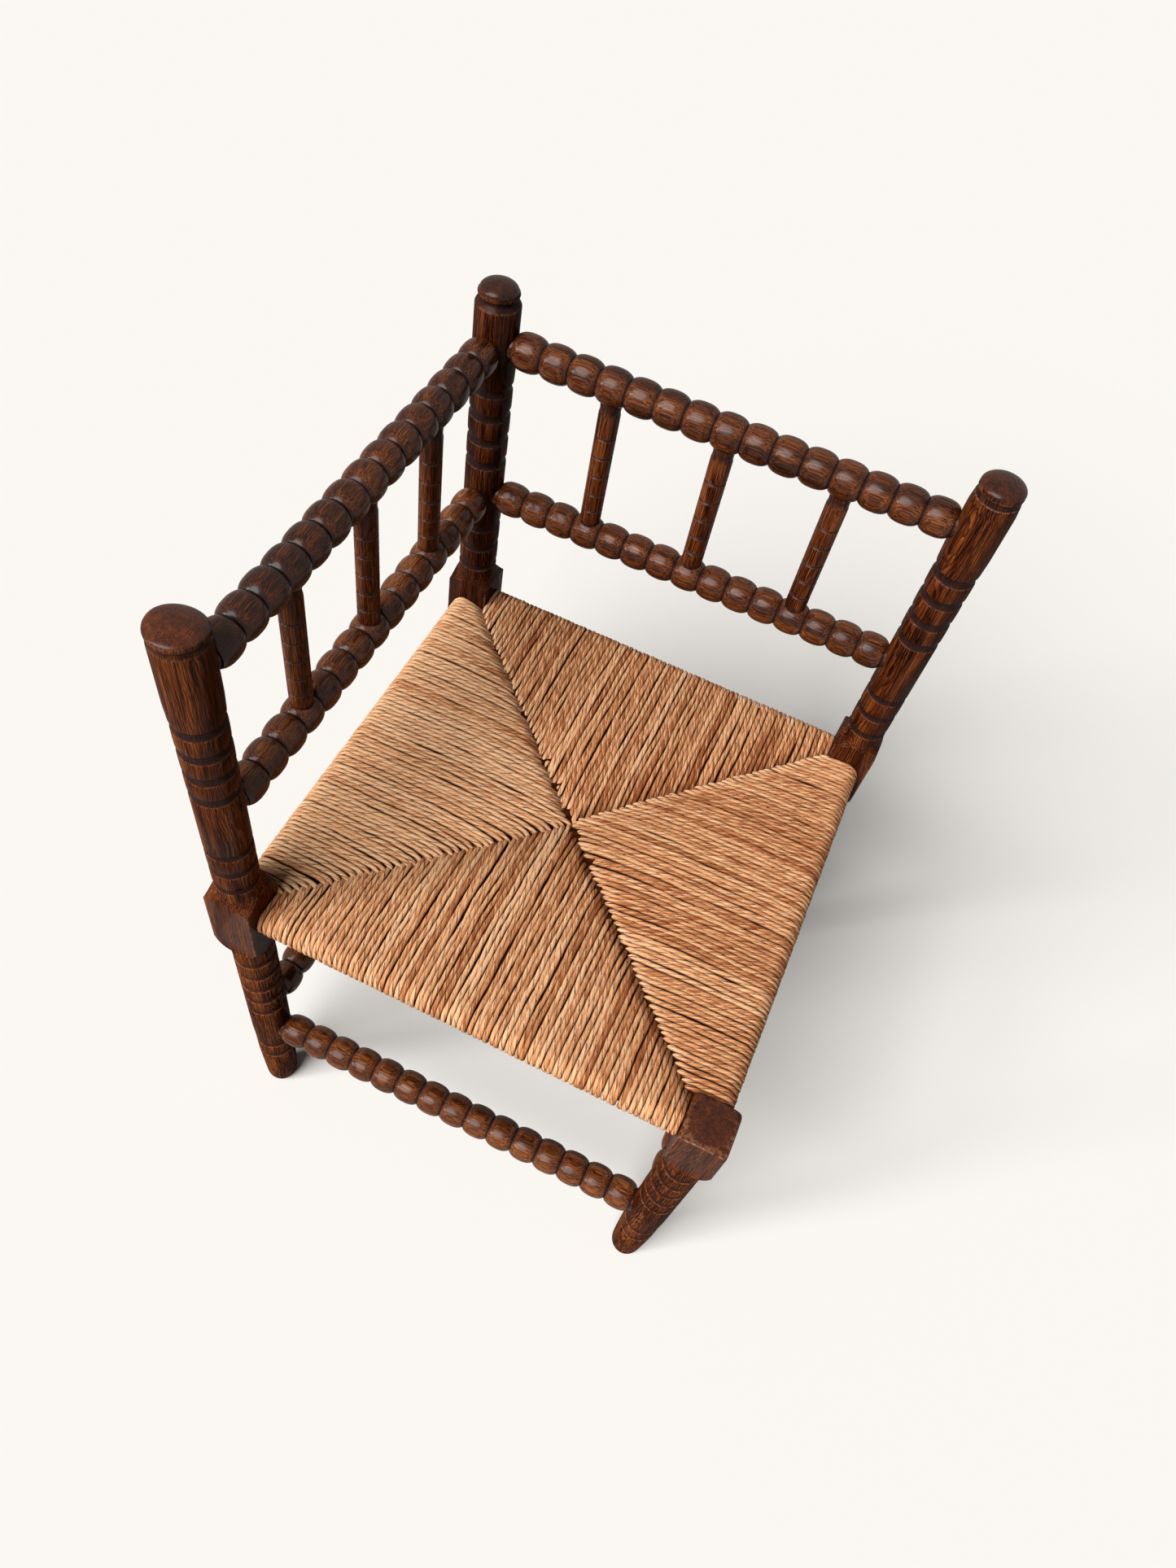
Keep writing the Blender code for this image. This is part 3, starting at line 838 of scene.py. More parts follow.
def rush_material(reed):
    """Twisted rush: fibres that follow the twist, painted shade in the seams between the leaves
    and between strands, a painted highlight on each leaf's ridge, mixed tints.
    """
    material, net = new_material("twisted_rush")
    twist = net.stored("twist", "Vector")
    parts = net.add("SeparateXYZ", {0: twist})
    turn = net.math("DIVIDE", net.math("ARCTAN2", parts[1], parts[0]), FULL_TURN)

    ragged = net.noise(twist, (1.6, 1.6, 150), 2.0, 0.6)
    leaf = net.times_plus(turn, LEAVES, net.ramp(ragged, 0.3, 0.7, -0.09, 0.09))
    leaf = net.math("FRACT", leaf)
    # Painted shade in the seams between the leaves, which are also grooves in the relief
    seam = net.math("MAXIMUM", net.ramp(leaf, 0.02, 0.15, 1, 0), net.ramp(leaf, 0.91, 0.98))
    # Painted highlight on the ridge of each leaf
    painted_ridge_highlight = net.ramp(leaf, 0.1, 0.45, 1, 0)
    fibres = net.noise(twist, (9, 9, 45), 3.0, 0.6)
    hairs = net.noise(twist, (24, 24, 110), 2.0, 0.6)
    broad = net.noise(twist, (1.5, 1.5, 26))
    blotch = net.noise(twist, (2.5, 2.5, 120))

    value = net.stored("tint")
    for cloud, spread in ((broad, 0.28), (fibres, 0.38), (hairs, 0.26)):
        value = net.plus(value, net.ramp(cloud, 0.3, 0.7, -spread, spread))
    value = net.times_plus(painted_ridge_highlight, 0.36, value)
    base = net.mix(net.ramp(value, 0.08, 0.5), reed.russet, reed.gold)
    base = net.mix(net.ramp(value, 0.5, 0.86), base, reed.straw)
    base = net.mix(net.times(net.ramp(blotch, 0.62, 0.74), 0.5), base, reed.russet)
    base = net.mix(net.times(seam, net.ramp(ragged, 0.42, 0.56)), base, reed.gap)
    # Painted shade from the crevice attribute: between strands and on ends that dive under
    base = net.mix(net.times(net.stored("crevice"), 0.85), base, reed.gap)
    height = net.times_plus(seam, -0.9, net.times(fibres, 0.6))
    height = net.times_plus(hairs, 0.4, height)
    gloss = net.ramp(fibres, 0.2, 0.8, 0.5, 0.72)
    net.dress(base, gloss, net.relief(height, 0.0005, 0.9), specular=0.02)
    return material


def fill_material(reed):
    """Stuffing under the strands; its dark colour is painted shade, as it shows only through the
    gaps between them.
    """
    material, net = new_material("rush_stuffing")
    place = net.place()
    lumps = net.noise(place, 90, 4, 0.7)
    shreds = net.noise(place, (900, 140, 400), 3, 0.6)
    # Painted shade: the stuffing takes the colour of the shade between strands
    base = net.mix(net.ramp(shreds, 0.3, 0.7), shaded(reed.gap, 0.35), reed.gap)
    base = net.mix(net.ramp(lumps, 0.55, 0.8, 0, 0.4), base, reed.russet)
    net.dress(base, net.ramp(lumps, 0.3, 0.7, 0.75, 0.95), net.relief(shreds, 0.001))
    return material


def plain_wood_group():
    """Plain wood with streaks and flecks along its grain."""
    name = "Plain wood grain"
    if name in bpy.data.node_groups:
        return bpy.data.node_groups[name]
    net, entry, leave = new_group(name, {"Grain": VECTOR, "Light": COLOUR, "Dark": COLOUR})
    streak = net.noise(entry["Grain"], 1.0, 3, 0.6)
    fleck = net.noise(entry["Grain"], 3.5, 2, 0.5)
    base = net.mix(net.ramp(streak, 0.3, 0.7), entry["Dark"], entry["Light"])
    base = net.mix(net.ramp(fleck, 0.6, 0.75, 0, 0.5), base, entry["Dark"])
    gloss = net.ramp(streak, 0.3, 0.7, 0.55, 0.7)
    net.feed(leave, {"Color": base, "Roughness": gloss, "Height": fleck})
    return net.tree


def rail_material(name, reed, stretch):
    """Plain unstained wood of the seat rails, with grain along one axis."""
    material, net = new_material(name)
    inputs = {
        "Grain": net.add("VectorMath", {0: net.place(), 1: stretch}, operation="MULTIPLY")[0],
        "Light": (*reed.rail, 1),
        "Dark": (*shaded(reed.rail, 0.45), 1),
    }
    grain = net.add("Group", inputs, node_tree=plain_wood_group())
    net.dress(grain["Color"], grain["Roughness"], net.relief(grain["Height"], 0.0002))
    return material


def saw_block(item, sizes, has_top):
    """Saw the stock square, round its edges and frame its faces for the worn edges."""
    half = sizes.stock_width / 2
    pick(item)
    bpy.ops.object.mode_set(mode="EDIT")
    for normal in ((1, 0, 0), (-1, 0, 0), (0, 1, 0), (0, -1, 0)):
        bpy.ops.mesh.select_all(action="SELECT")
        place = [half * part for part in normal]
        bpy.ops.mesh.bisect(
            plane_co=place, plane_no=normal, use_fill=True, clear_outer=True, threshold=MERGE
        )

    def at_corner(vertex):
        return all(abs(abs(part) - half) < CORNER_NEAR for part in vertex.co.to_2d())

    def is_rim(edge):
        if min(vertex.co.z for vertex in edge.verts) < FRONT_BLOCK_TOP_Z - RIM_DEPTH:
            return False
        normals = [abs(face.normal.z) for face in edge.link_faces]
        return len(normals) == 2 and max(normals) > 0.8 and min(normals) < 0.1

    def is_side(face):
        flat = max(abs(face.normal.x), abs(face.normal.y)) > 0.9999
        return flat and face.calc_area() > LEAST_FACE

    select_where(item, "EDGE", lambda edge: all(at_corner(vertex) for vertex in edge.verts))
    bpy.ops.mesh.bevel(offset=sizes.edge * (2 if has_top else 1), segments=3, profile=0.5)
    if has_top:
        select_where(item, "EDGE", is_rim)
        bpy.ops.mesh.bevel(offset=RIM_BEVEL, segments=3, profile=0.5)
    count = select_where(item, "FACE", is_side)
    if count != 4:
        raise RuntimeError(f"{item.name} has {count} block faces instead of 4")
    bpy.ops.mesh.inset(thickness=FACE_FRAME, use_individual=True)
    bpy.ops.object.mode_set(mode="OBJECT")


def round_block(item):
    """Pull in the top of the block's corners, most at the back."""
    foot = FRONT_BLOCK_TOP_Z - ROUND_HEIGHT
    for vertex in item.data.vertices:
        reach = vertex.co.to_2d().length
        rise = (vertex.co.z - foot) / ROUND_HEIGHT
        if rise > 0 and reach > ROUND_FROM:
            share = ROUND_BACK_SHARE if vertex.co.y > 0 else ROUND_FRONT_SHARE
            scale = 1 - share * min(1, rise) ** 2 * (reach - ROUND_FROM) / reach
            vertex.co.x *= scale
            vertex.co.y *= scale


def read_values(mesh, name):
    """Values that a mesh keeps under a name, as an array."""
    values = np.empty(len(mesh.vertices), dtype=np.float32)
    mesh.attributes[name].data.foreach_get("value", values)
    return values


def wear_block(item, sizes):
    """Mark the edges of the block as worn and its faces as calmer."""
    half = sizes.stock_width / 2
    places = vertex_places(item.data)
    heights = places[:, 2]
    outer = np.maximum(abs(places[:, 0]), abs(places[:, 1]))
    inner = np.minimum(abs(places[:, 0]), abs(places[:, 1]))
    above = heights > BLOCK_BOTTOM_Z - BLOCK_BELOW

    worn = read_values(item.data, "worn")
    corner = (outer > half - EDGE_REACH) & (inner > half - sizes.edge - CORNER_REACH)
    worn[above & corner] = CORNER_WEAR
    if item.name.startswith("front"):
        leans = np.array([vertex.normal.z for vertex in item.data.vertices])
        rim = (outer > half - RIM_REACH) & (leans > 0.15) & (leans < 0.97)
        rim &= heights > FRONT_BLOCK_TOP_Z - RIM_HEIGHT
        worn[rim] = RIM_WEAR
        worn[rim & (places[:, 1] < 0) & (abs(places[:, 0]) < half - FRONT_RIM_SPARE)] = 1.0
    item.data.attributes["worn"].data.foreach_set("value", worn)

    calm = read_values(item.data, "end_grain")
    faces = above & (heights < BLOCK_TOP_Z + BLOCK_ABOVE) & (outer > half - FACE_REACH)
    calm[faces] = np.maximum(calm[faces], BLOCK_CALM)
    item.data.attributes["end_grain"].data.foreach_set("value", calm)


def wear_cap(item, sizes):
    """Let the cap slope down towards the top rail, as it is worn."""
    foot = CAP_RIM_Z - CAP_WEAR_HEIGHT
    for vertex in item.data.vertices:
        rise = min(1, (vertex.co.z - foot) / CAP_WEAR_HEIGHT * 1.5)
        if rise > 0:
            far = vertex.co.to_2d().dot(Vector(CAP_WEAR_WAY)) / sizes.post_radius
            share = max(0, (far + CAP_WEAR_START) / (1 + CAP_WEAR_START))
            vertex.co.z -= CAP_WEAR * rise * share**1.5


class CHAIR_OT_posts(bpy.types.Operator):
    """Turn the three tall posts and the short front post"""

    bl_idname = "chair.posts"
    bl_label = "Turned Posts"

    def execute(self, context):
        sizes = context.scene.chair_turning
        material = oak_material("post_oak", context.scene.chair_wood)
        for seed, side in enumerate(SIDES):
            is_front = side == "front"
            outline = post_outline(side, sizes)
            item = spin_outline(f"{side}_post", outline, sizes.steps)
            saw_block(item, sizes, is_front)
            end_z = FRONT_END_Z if is_front else CAP_END_Z
            keep_surface(item, outline, heart_offset(seed, HEART_TURNS[side]), end_z)
            if side == "left":
                wear_cap(item, sizes)
            wear_block(item, sizes)
            if is_front:
                round_block(item)
            set_down(item, (*POST_PLACES[side], 0))
            finish_piece(item, material, [f"post_{side}"])
        return {"FINISHED"}


class CHAIR_OT_beaded_rails(bpy.types.Operator):
    """Turn the beaded top rails, lower rails and stretchers"""

    bl_idname = "chair.beaded_rails"
    bl_label = "Beaded Rails"

    def execute(self, context):
        sizes = context.scene.chair_rails
        material = oak_material("rail_oak", context.scene.chair_wood)
        seed = 0
        for kind, sides, post_part, scribed in RAILS:
            reach = getattr(context.scene.chair_turning, post_part)
            for side in sides:
                axis, span = ("X", SPAN_X) if side in ("back", "front") else ("Y", SPAN_Y)
                chance = random.Random(BEAD_SEED + seed)
                outline = bead_profile(sizes, span - 2 * reach, scribed, chance)
                item = spin_outline(f"{side}_{kind}", outline, sizes.steps)
                keep_surface(item, outline, heart_offset(RAIL_SEED + seed))
                node = f"{kind}_{side}"
                set_down(item, middle(node), axis)
                finish_piece(item, material, [node], SMOOTH_BEADS)
                seed += 1
        return {"FINISHED"}


class CHAIR_OT_spindles(bpy.types.Operator):
    """Turn one spindle and copy it to its six places"""

    bl_idname = "chair.spindles"
    bl_label = "Spindles"

    def execute(self, context):
        material = oak_material("spindle_oak", context.scene.chair_wood)
        outline = spindle_profile(context.scene.chair_rails)
        first = spin_outline("spindle", outline, SPINDLE_STEPS)
        for seed, (side, number) in enumerate(product(("back", "left"), (1, 2, 3))):
            item = first.copy()
            item.data = first.data.copy()
            item.name = f"{side}_spindle_{number}"
            item.data.name = item.name
            context.collection.objects.link(item)
            keep_surface(item, outline, heart_offset(SPINDLE_SEED + seed))
            node = f"spindle_{side}_{number}"
            set_down(item, (*middle(node).to_2d(), 0))
            finish_piece(item, material, [node])
        bpy.data.objects.remove(first)
        return {"FINISHED"}


# Form of the seat, as in the packed solid
PILLOW_RISE = 0.004
VALLEY_DROP = 0.004
VALLEY_START = 0.25
CENTRE_DIP = 0.0085
UNDER_SAG = 0.01

# Way inwards, way along the rail, then how each end of its strands meets the next side
RUSH_SIDES = {
    "front": ((0, 1), (1, 0), "tuck", "under"),
    "right": ((-1, 0), (0, 1), "over", "over"),
    "back": ((0, -1), (-1, 0), "under", "over"),
    "left": ((1, 0), (0, -1), "under", "butt"),
}
# How much lighter or darker the strands of each side are
SIDE_TINTS = {"front": 0.05, "right": -0.13, "back": -0.12, "left": 0.24}

# Ends of strands: reach past the corner line, length that thins out, depth and length of the
# dive, rise before it, length that lies in painted shade, how much paler the tip is (partly a
# painted highlight; below zero, painted shade on a diving end), and its sideways bend
STRAND_ENDS = {
    "over": (0.0062, 0.0038, 0.0010, 0.0018, 0.0015, 0.0005, 0.45, 0.0),
    "under": (0.0040, 0.0030, 0.0088, 0.0260, 0.0, 0.0240, -0.32, 0.0022),
    "butt": (0.0034, 0.0022, 0.0024, 0.0022, 0.0006, 0.0010, 0.05, 0.0032),
    "tuck": (0.0040, 0.0030, 0.0056, 0.0100, 0.0, 0.0065, 0.0, 0.0),
}
# Where the rise before a dive lies, how long it is, and how far the sideways bend reaches
RISE_PLACE = 0.005
RISE_LENGTH = 0.004
BEND_REACH = 0.0105
# How far paler tips, partly a painted highlight, and the painted shade on diving ends reach
PALE_REACH = 0.014
SHADE_REACH = 0.07

# How unevenly strands end, lie high or low, and drift sideways, together and each alone
TIP_CHANCE = 0.0013
LIFT_CHANCE = (-0.0006, 0.0004)
DRIFT = 0.0014
OWN_DRIFT = 0.0013
DRIFT_EASE = 0.03
# Waves in a metre: of the drift together, across and along, of the drift alone, of a strand's
# size, and of the tint from strand to strand
DRIFT_ACROSS = 22
DRIFT_ALONG = 16
OWN_WAVES = 30
SIZE_WAVES = 42
TINT_WAVES = 45
# How sharply a strand's end dives, and how sharply it bends aside
DIVE_POWER = 1.4
BEND_POWER = 1.6

# Distances of a strand's first points from its tip, then the steps above and below the seat
TIP_STEPS = (0, 0.0007, 0.0018, 0.0033, 0.0052, 0.0078)
TOP_STEP = 0.0036
UNDER_STEP = 0.0075
BEND_STEPS = 12
SECTION_SIDES = 12
LEAVES = 3
# Lower than 1 makes a strand's section squarer; lower than 0 keeps thinned ends thick
SQUARENESS = 0.82
THICK_FULL = -0.35
# Grooves between the leaves, how lopsided a strand is, and how its size and twist vary
LEAF_GROOVE = 0.15
LEAF_POWER = 6
LOPSIDED = 0.04
SIZE_SWING = 0.13
TWIST_CHANCE = (0.8, 1.3)

# Strands side by side: room beside the posts in shares of a strand, how unevenly they lie,
# their width, thickness and tint, and how dark and how high the painted shade on their lower
# flanks is
STRAND_SEED = 900
POST_ROOM = 0.46
LAY_CHANCE = 0.0006
WIDTH_CHANCE = (0.95, 1.12)
THICK_CHANCE = (0.92, 1.06)
TINT_SWING = 0.16
TINT_CHANCE = 0.15
FLANK_PAINTED_SHADE = 0.95
FLANK_HEIGHT = 0.85

# Stuffing: cuts of its mesh, how far inside the rails' outer sides it ends, how far below the
# rush it lies in shares of a strand, how much its corners are drawn in and its diagonals sunk
PAD_CUTS = 19
PAD_INSET = 0.001
PAD_SHARE = 0.85
PAD_CORNER = 0.045
PAD_VALLEY = 0.0045


def half_spans(side):
    """Half the seat's size inwards from a side, and along that side."""
    spans = (SPAN_Y / 2, SPAN_X / 2)
    return spans if side in ("front", "back") else spans[::-1]


def rush_swell(inward, across):
    """How far the rush stands proud of its rolled edge, as in the packed solid."""
    pillow = PILLOW_RISE * math.sin(math.pi * inward) * (1 - across**2)
    valley = VALLEY_DROP * across**4 * min(1, inward / VALLEY_START)
    return pillow - valley - CENTRE_DIP * inward**2


def strand_route(side, offset, sizes, chance):
    """Points of one strand from the middle of the seat, over the rail and back below.

    Each point comes with the strand's fullness there, the painted shade near its end, and how
    much paler its tip is: partly a painted highlight, and painted shade where the end dives under.
    """
    inward_way, along_way, *kinds = RUSH_SIDES[side]
    half_in, half_along = half_spans(side)
    end = STRAND_ENDS[kinds[offset > 0]]
    past, thinning, fall, dive, rise, dark, tip_light_and_shade, bend_aside = end
    fade = PALE_REACH if tip_light_and_shade > 0 else SHADE_REACH
    thick = sizes.thickness / 2
    roll = sizes.roll_radius - thick
    corner = half_in * (1 - abs(offset) / half_along)
    tip = corner + past + chance.uniform(-TIP_CHANCE, TIP_CHANCE)
    lift = chance.uniform(*LIFT_CHANCE)
    phase = chance.uniform(0, 50)

    def surface(depth, below_seat):
        share = min(1, max(0, depth / half_in))
        across = min(1, abs(offset) / half_along / max(0.001, 1 - share))
        swell = rush_swell(share, across)
        if below_seat:
            return SEAT_RAIL_Z - sizes.roll_radius - swell - UNDER_SAG * share + thick
        return SEAT_RAIL_Z + sizes.roll_radius + swell - thick

    def run(below_seat):
        """Inward distances from the tip to the rail, close together near the tip."""
        depths = [tip - step for step in TIP_STEPS]
        last = depths[-1]
        count = max(2, round(last / (UNDER_STEP if below_seat else TOP_STEP)))
        depths += [last * (1 - step / count) for step in range(1, count + 1)]
        points = []
        for depth in depths:
            from_tip = tip - depth
            drop = fall * max(0, 1 - from_tip / dive) ** DIVE_POWER
            drop -= rise * math.exp(-(((from_tip - RISE_PLACE) / RISE_LENGTH) ** 2))
            full = min(1, (from_tip + 0.0001) / thinning) ** 0.5
            height = surface(depth, below_seat) - (-1 if below_seat else 1) * (drop - lift)
            # Painted shade near the tip, longest on ends that dive under the next side
            deep = max(0, 1 - from_tip / dark)
            # Last mark: a paler tip, partly a painted highlight, when positive; painted shade on a
            # diving end when negative
            points.append((depth, height, full, deep, tip_light_and_shade * max(0, 1 - from_tip / fade)))
        return points

    bend = []
    for step in range(1, BEND_STEPS):
        angle = QUARTER - math.pi * step / BEND_STEPS
        height = SEAT_RAIL_Z + roll * math.sin(angle)
        bend.append((-roll * math.cos(angle), height, 1.0, 0.0, 0.0))
    rail = Vector(inward_way) * -half_in
    points = []
    for depth, height, *marks in run(False) + bend + run(True)[::-1]:
        drift = noise.noise(Vector((offset * DRIFT_ACROSS, depth * DRIFT_ALONG, 3.1))) * DRIFT
        own = noise.noise(Vector((phase, depth * OWN_WAVES, 0.7))) * OWN_DRIFT
        ease = min(1, max(0, depth) / DRIFT_EASE)
        aside = bend_aside * max(0, 1 - (tip - depth) / BEND_REACH) ** BEND_POWER
        sideways = offset + (drift + own) * ease + aside
        flat = rail + Vector(inward_way) * depth + Vector(along_way) * sideways
        points.append(((*flat, height), *marks))
    return points


def squarer(values):
    """Sines or cosines of a section's angles, drawn out towards its corners."""
    return np.sign(values) * np.abs(values) ** SQUARENESS


def strand_section(points, along, half_width, half_thick, sizes, chance):
    """Rings of the strand's surface and its twist for the material."""
    centres = np.array([point[0] for point in points])
    fulls = np.array([point[1] for point in points])
    steps = np.linalg.norm(np.diff(centres, axis=0), axis=1)
    lengths = np.concatenate([[0], np.cumsum(steps)])
    ways = np.gradient(centres, axis=0)
    ways /= np.linalg.norm(ways, axis=1)[:, None]
    outward = np.cross(ways, np.array([*along, 0.0]))
    outward /= np.linalg.norm(outward, axis=1)[:, None]
    sidewards = np.cross(outward, ways)
    angles = FULL_TURN * np.arange(SECTION_SIDES) / SECTION_SIDES
    start = chance.uniform(0, FULL_TURN)
    lead = sizes.twist_length * chance.uniform(*TWIST_CHANCE)
    turned = angles[None, :] + FULL_TURN * lengths[:, None] / lead + start
    grooves = LEAF_GROOVE * np.abs(np.cos(LEAVES / 2 * turned)) ** LEAF_POWER
    plies = 1 - grooves + LOPSIDED * np.cos(turned + 1.0)
    wave = [noise.noise(Vector((start * 9, place * SIZE_WAVES, 5.5))) for place in lengths]
    size = (fulls * (1 + SIZE_SWING * np.array(wave)))[:, None] * plies
    flat = squarer(np.cos(angles))
    tall = squarer(np.sin(angles))
    deep = (fulls ** THICK_FULL)[:, None, None]
    rings = centres[:, None, :] + size[..., None] * (
        half_width * flat[None, :, None] * sidewards[:, None, :]
        + half_thick * deep * tall[None, :, None] * outward[:, None, :]
    )
    shift = chance.uniform(0, 30)
    places = np.repeat((lengths + shift)[:, None], SECTION_SIDES, 1)
    return rings, np.stack([np.cos(turned), np.sin(turned), places], axis=-1)


def draw_tubes(name, routes, half_width, half_thick, context):
    """Draw the strands' routes as curves with one oval section and turn them into a mesh."""
    deselect()
    section = bpy.data.curves.new("strand_section", "CURVE")
    section.dimensions = "2D"
    outline = section.splines.new("POLY")
    outline.points.add(SECTION_SIDES - 1)
    for index, point in enumerate(outline.points):
        angle = -FULL_TURN * index / SECTION_SIDES
        point.co = (half_width * math.cos(angle), half_thick * math.sin(angle), 0, 1)
    outline.use_cyclic_u = True
    section_item = bpy.data.objects.new("strand_section", section)
    context.collection.objects.link(section_item)
    curve = bpy.data.curves.new(name, "CURVE")
    curve.dimensions = "3D"
    curve.bevel_mode = "OBJECT"
    curve.bevel_object = section_item
    for _, route in routes:
        spline = curve.splines.new("POLY")
        spline.points.add(len(route) - 1)
        for point, mark in zip(spline.points, route):
            point.co = (*mark[0], 1)
    item = bpy.data.objects.new(name, curve)
    context.collection.objects.link(item)
    pick(item)
    bpy.ops.object.convert(target="MESH")
    item = context.object
    bpy.data.objects.remove(section_item)
    return item


def lay_strands(side, sizes, material, context):
    """Lay one side's strands as tubes and shape their sections."""
    along_way = RUSH_SIDES[side][1]
    chance = random.Random(STRAND_SEED + sorted(RUSH_SIDES).index(side))
    free = half_spans(side)[1] - context.scene.chair_turning.stock_width / 2
    pitch = 2 * free / sizes.strand_count
    limit = free - pitch * POST_ROOM
    routes = []
    for index in range(sizes.strand_count):
        offset = (index - (sizes.strand_count - 1) / 2) * pitch
        offset += chance.uniform(-LAY_CHANCE, LAY_CHANCE)
        offset = max(-limit, min(limit, offset))
        routes.append((offset, strand_route(side, offset, sizes, chance)))
    item = draw_tubes(f"{side}_rush", routes, pitch / 2, sizes.thickness / 2, context)

    angles = FULL_TURN * np.arange(SECTION_SIDES) / SECTION_SIDES
    # Painted shade on the lower flanks of each strand, where it meets its neighbours
    flank_shade = FLANK_PAINTED_SHADE * np.clip(1 - np.sin(angles) / FLANK_HEIGHT, 0, 1)
    places, twists, tints, painted_shades = [], [], [], []
    for offset, route in routes:
        half_width = pitch / 2 * chance.uniform(*WIDTH_CHANCE)
        half_thick = sizes.thickness / 2 * chance.uniform(*THICK_CHANCE)
        rings, twist = strand_section(route, along_way, half_width, half_thick, sizes, chance)
        mood = noise.noise(Vector((offset * TINT_WAVES, 2.2, 7.7))) * TINT_SWING
        own = 0.5 + SIDE_TINTS[side] + mood + chance.gauss(0, TINT_CHANCE)
        places.append(rings.reshape(-1, 3))
        twists.append(twist.reshape(-1, 3))
        # Painted shade for the crevice attribute: on diving ends and on the lower flanks
        painted_shades.append(np.maximum.outer([point[2] for point in route], flank_shade).ravel())
        # Tint of the strand, with the paler tips (partly a painted highlight) and the painted
        # shade on diving ends added
        tints.append(np.repeat([own + point[3] for point in route], SECTION_SIDES))
    places = np.concatenate(places)
    if len(places) != len(item.data.vertices):
        raise RuntimeError(f"{item.name} has {len(item.data.vertices)} points, not {len(places)}")
    item.data.vertices.foreach_set("co", places.ravel())
    store(item.data, "twist", np.concatenate(twists), "FLOAT_VECTOR")
    store(item.data, "tint", np.concatenate(tints))
    store(item.data, "crevice", np.concatenate(painted_shades))
    item.data.update()
    pick(item)
    bpy.ops.object.mode_set(mode="EDIT")
    weld_points()
    finish_piece(item, material, ["rush_seat"], SMOOTH_STRANDS)


def lay_stuffing(sizes, material):
    """Make the pad that the strands are wrapped round, a little inside them; its material paints
    it in shade.
    """
    low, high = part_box("seat_rail_back")
    past_rail = (high[1] - low[1]) / 2 - PAD_INSET
    reach_x = SPAN_X / 2 - past_rail
    reach_y = SPAN_Y / 2 - past_rail
    half_height = sizes.roll_radius - sizes.thickness * PAD_SHARE
    deselect()
    bpy.ops.mesh.primitive_cube_add(size=2, location=(0, 0, SEAT_RAIL_Z))
    item = bpy.context.object
    item.name = "rush_stuffing"
    item.data.name = "rush_stuffing"
    item.scale = (reach_x, reach_y, half_height)
    bpy.ops.object.transform_apply(location=True, rotation=True, scale=True)
    bpy.ops.object.mode_set(mode="EDIT")
    bpy.ops.mesh.select_all(action="SELECT")
    bpy.ops.mesh.subdivide(number_cuts=PAD_CUTS)
    bpy.ops.object.mode_set(mode="OBJECT")
    for vertex in item.data.vertices:
        share_x = abs(vertex.co.x) / (SPAN_X / 2)
        share_y = abs(vertex.co.y) / (SPAN_Y / 2)
        inward = 1 - max(share_x, share_y)
        across = min(share_x, share_y) / max(share_x, share_y, 0.001)
        swell = rush_swell(inward, across) - PAD_VALLEY * across**8
        if min(abs(vertex.co.x) / reach_x, abs(vertex.co.y) / reach_y) > 0.99:
            vertex.co.x *= 1 - PAD_CORNER
            vertex.co.y *= 1 - PAD_CORNER
        level = (vertex.co.z - SEAT_RAIL_Z) / half_height
        vertex.co.z += level * (swell if level > 0 else swell + UNDER_SAG * inward)
    finish_piece(item, material, ["rush_seat"], SMOOTH_PAD)


class CHAIR_OT_rush_seat(bpy.types.Operator):
    """Lay the strands of the rush seat over its stuffing"""

    bl_idname = "chair.rush_seat"
    bl_label = "Rush Seat"

    def execute(self, context):
        sizes = context.scene.chair_rush
        reed = context.scene.chair_reed
        material = rush_material(reed)
        for side in RUSH_SIDES:
            lay_strands(side, sizes, material, context)
        lay_stuffing(sizes, fill_material(reed))
        return {"FINISHED"}


class CHAIR_OT_seat_rails(bpy.types.Operator):
    """Give the packed seat rails their plain wood"""

    bl_idname = "chair.seat_rails"
    bl_label = "Seat Rails"

    def execute(self, context):
        reed = context.scene.chair_reed
        along_x = rail_material("plain_wood_x", reed, (12, 420, 420))
        along_y = rail_material("plain_wood_y", reed, (420, 12, 420))
        for side in SIDES:
            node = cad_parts[f"seat_rail_{side}"]
            material = along_x if side in ("back", "front") else along_y
            for slot in node.material_slots:
                slot.material = material
        return {"FINISHED"}


CAMERA_PLACE = (0.1243734, -0.54478247, 1.24480122)
CAMERA_RIGHT = (0.904384, 0.403088, 0.140038)
CAMERA_DOWN = (0.407875, -0.72012, -0.561306)
CAMERA_AHEAD = (-0.125412, 0.564754, -0.815675)
CAMERA_LENS = 25.278
FLOOR_RADIUS = 9
# Where each lamp stands and how many degrees of the sky it fills
LAMPS = {"key": ((-0.288, -0.646, 0.707), 45), "glint": ((-0.72, -0.604, 0.342), 10)}


def seen_rays(net):
    """1 for rays from the camera, a reflection or through glass, 0 for light on the object."""
    path = net.add("LightPath")
    seen = net.math("MAXIMUM", path["Is Camera Ray"], path["Is Glossy Ray"])
    return net.math("MAXIMUM", seen, path["Is Transmission Ray"])


def set_camera(context):
    """Camera at the photograph's angle."""
    deselect()
    bpy.ops.object.camera_add(location=CAMERA_PLACE)
    camera = context.object
    camera.name = "view_camera"
    axes = (Vector(CAMERA_RIGHT), -Vector(CAMERA_DOWN), -Vector(CAMERA_AHEAD))
    camera.rotation_euler = Matrix(axes).transposed().to_euler()
    camera.data.lens = CAMERA_LENS
    camera.data.clip_start = 0.01
    context.scene.camera = camera


def set_floor(look, context):
    """Pale floor that throws little light back at the chair."""
    deselect()
    bpy.ops.mesh.primitive_circle_add(vertices=96, radius=FLOOR_RADIUS, fill_type="NGON")
    floor = context.object
    floor.name = "floor"
    material, net = new_material("pale_floor")
    net.dress(net.mix(seen_rays(net), shaded(look.floor, look.bounce), look.floor), 0.9)
    floor.data.materials.append(material)


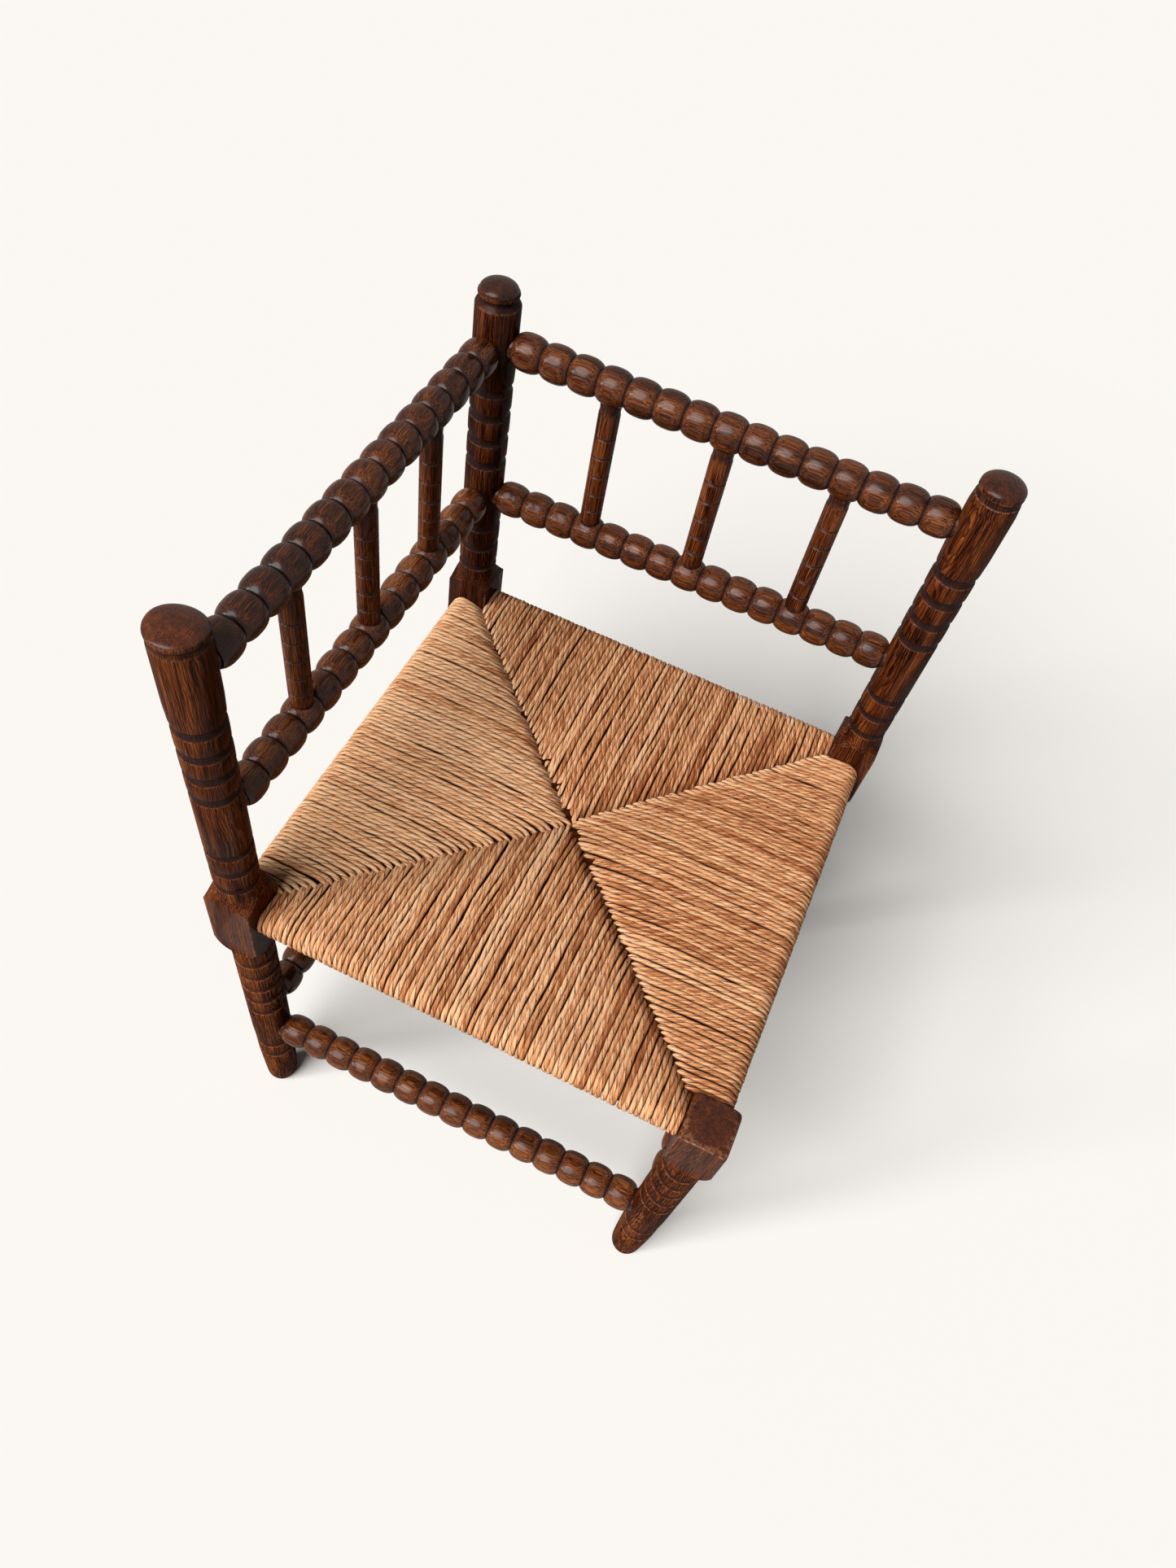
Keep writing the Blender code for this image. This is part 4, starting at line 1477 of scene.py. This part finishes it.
class CHAIR_OT_stage(bpy.types.Operator):
    """Set up the camera, the floor and the light"""

    bl_idname = "chair.stage"
    bl_label = "Stage"

    def execute(self, context):
        look = context.scene.chair_stage
        set_camera(context)
        set_floor(look, context)
        for name, (way, angle) in LAMPS.items():
            deselect()
            bpy.ops.object.light_add(type="SUN", location=(0, 0, 3))
            lamp = context.object
            lamp.name = name + "_light"
            lamp.rotation_euler = Vector(way).to_track_quat("Z", "Y").to_euler()
            lamp.data.energy = getattr(look, name)
            lamp.data.angle = math.radians(angle)
        world = bpy.data.worlds.new("studio")
        context.scene.world = world
        world.use_nodes = True
        net = Wiring(world.node_tree)
        light = net.ramp(seen_rays(net), 0, 1, look.dome, 1)
        sky = {"Color": (*look.floor, 1), "Strength": light}
        net.feed(world.node_tree.nodes["Background"], sky)
        context.scene.view_settings.view_transform = "Standard"
        return {"FINISHED"}


class CHAIR_PT_panel(bpy.types.Panel):
    """Sidebar panel with every step of the chair"""

    bl_label = "Corner Chair"
    bl_idname = "CHAIR_PT_panel"
    bl_space_type = "VIEW_3D"
    bl_region_type = "UI"
    bl_category = "Chair"

    def draw(self, context):
        layout = self.layout
        for operator in OPERATORS:
            layout.operator(operator.bl_idname)
        for key, group in GROUPS.items():
            box = layout.box()
            box.label(text=group.__doc__)
            for field in group.__annotations__:
                box.prop(getattr(context.scene, key), field)


GROUPS = {
    "chair_turning": ChairTurning,
    "chair_rails": ChairRails,
    "chair_rush": ChairRush,
    "chair_wood": ChairWood,
    "chair_reed": ChairReed,
    "chair_stage": ChairStage,
}
OPERATORS = (
    CHAIR_OT_stage,
    CHAIR_OT_posts,
    CHAIR_OT_beaded_rails,
    CHAIR_OT_spindles,
    CHAIR_OT_seat_rails,
    CHAIR_OT_rush_seat,
)


def register():
    """Register the classes and add their settings to the scene."""
    for group in GROUPS.values():
        bpy.utils.register_class(group)
    for operator in OPERATORS:
        bpy.utils.register_class(operator)
    bpy.utils.register_class(CHAIR_PT_panel)
    for key, group in GROUPS.items():
        setattr(bpy.types.Scene, key, bpy.props.PointerProperty(type=group))


def unregister():
    """Take the settings and the classes away again."""
    for key in GROUPS:
        delattr(bpy.types.Scene, key)
    bpy.utils.unregister_class(CHAIR_PT_panel)
    for operator in reversed(OPERATORS):
        bpy.utils.unregister_class(operator)
    for group in reversed(GROUPS.values()):
        bpy.utils.unregister_class(group)


def main():
    """Make the chair and its stage."""
    register()
    bpy.ops.chair.stage()
    bpy.ops.chair.posts()
    bpy.ops.chair.beaded_rails()
    bpy.ops.chair.spindles()
    bpy.ops.chair.seat_rails()
    bpy.ops.chair.rush_seat()


if __name__ == "__main__":
    main()
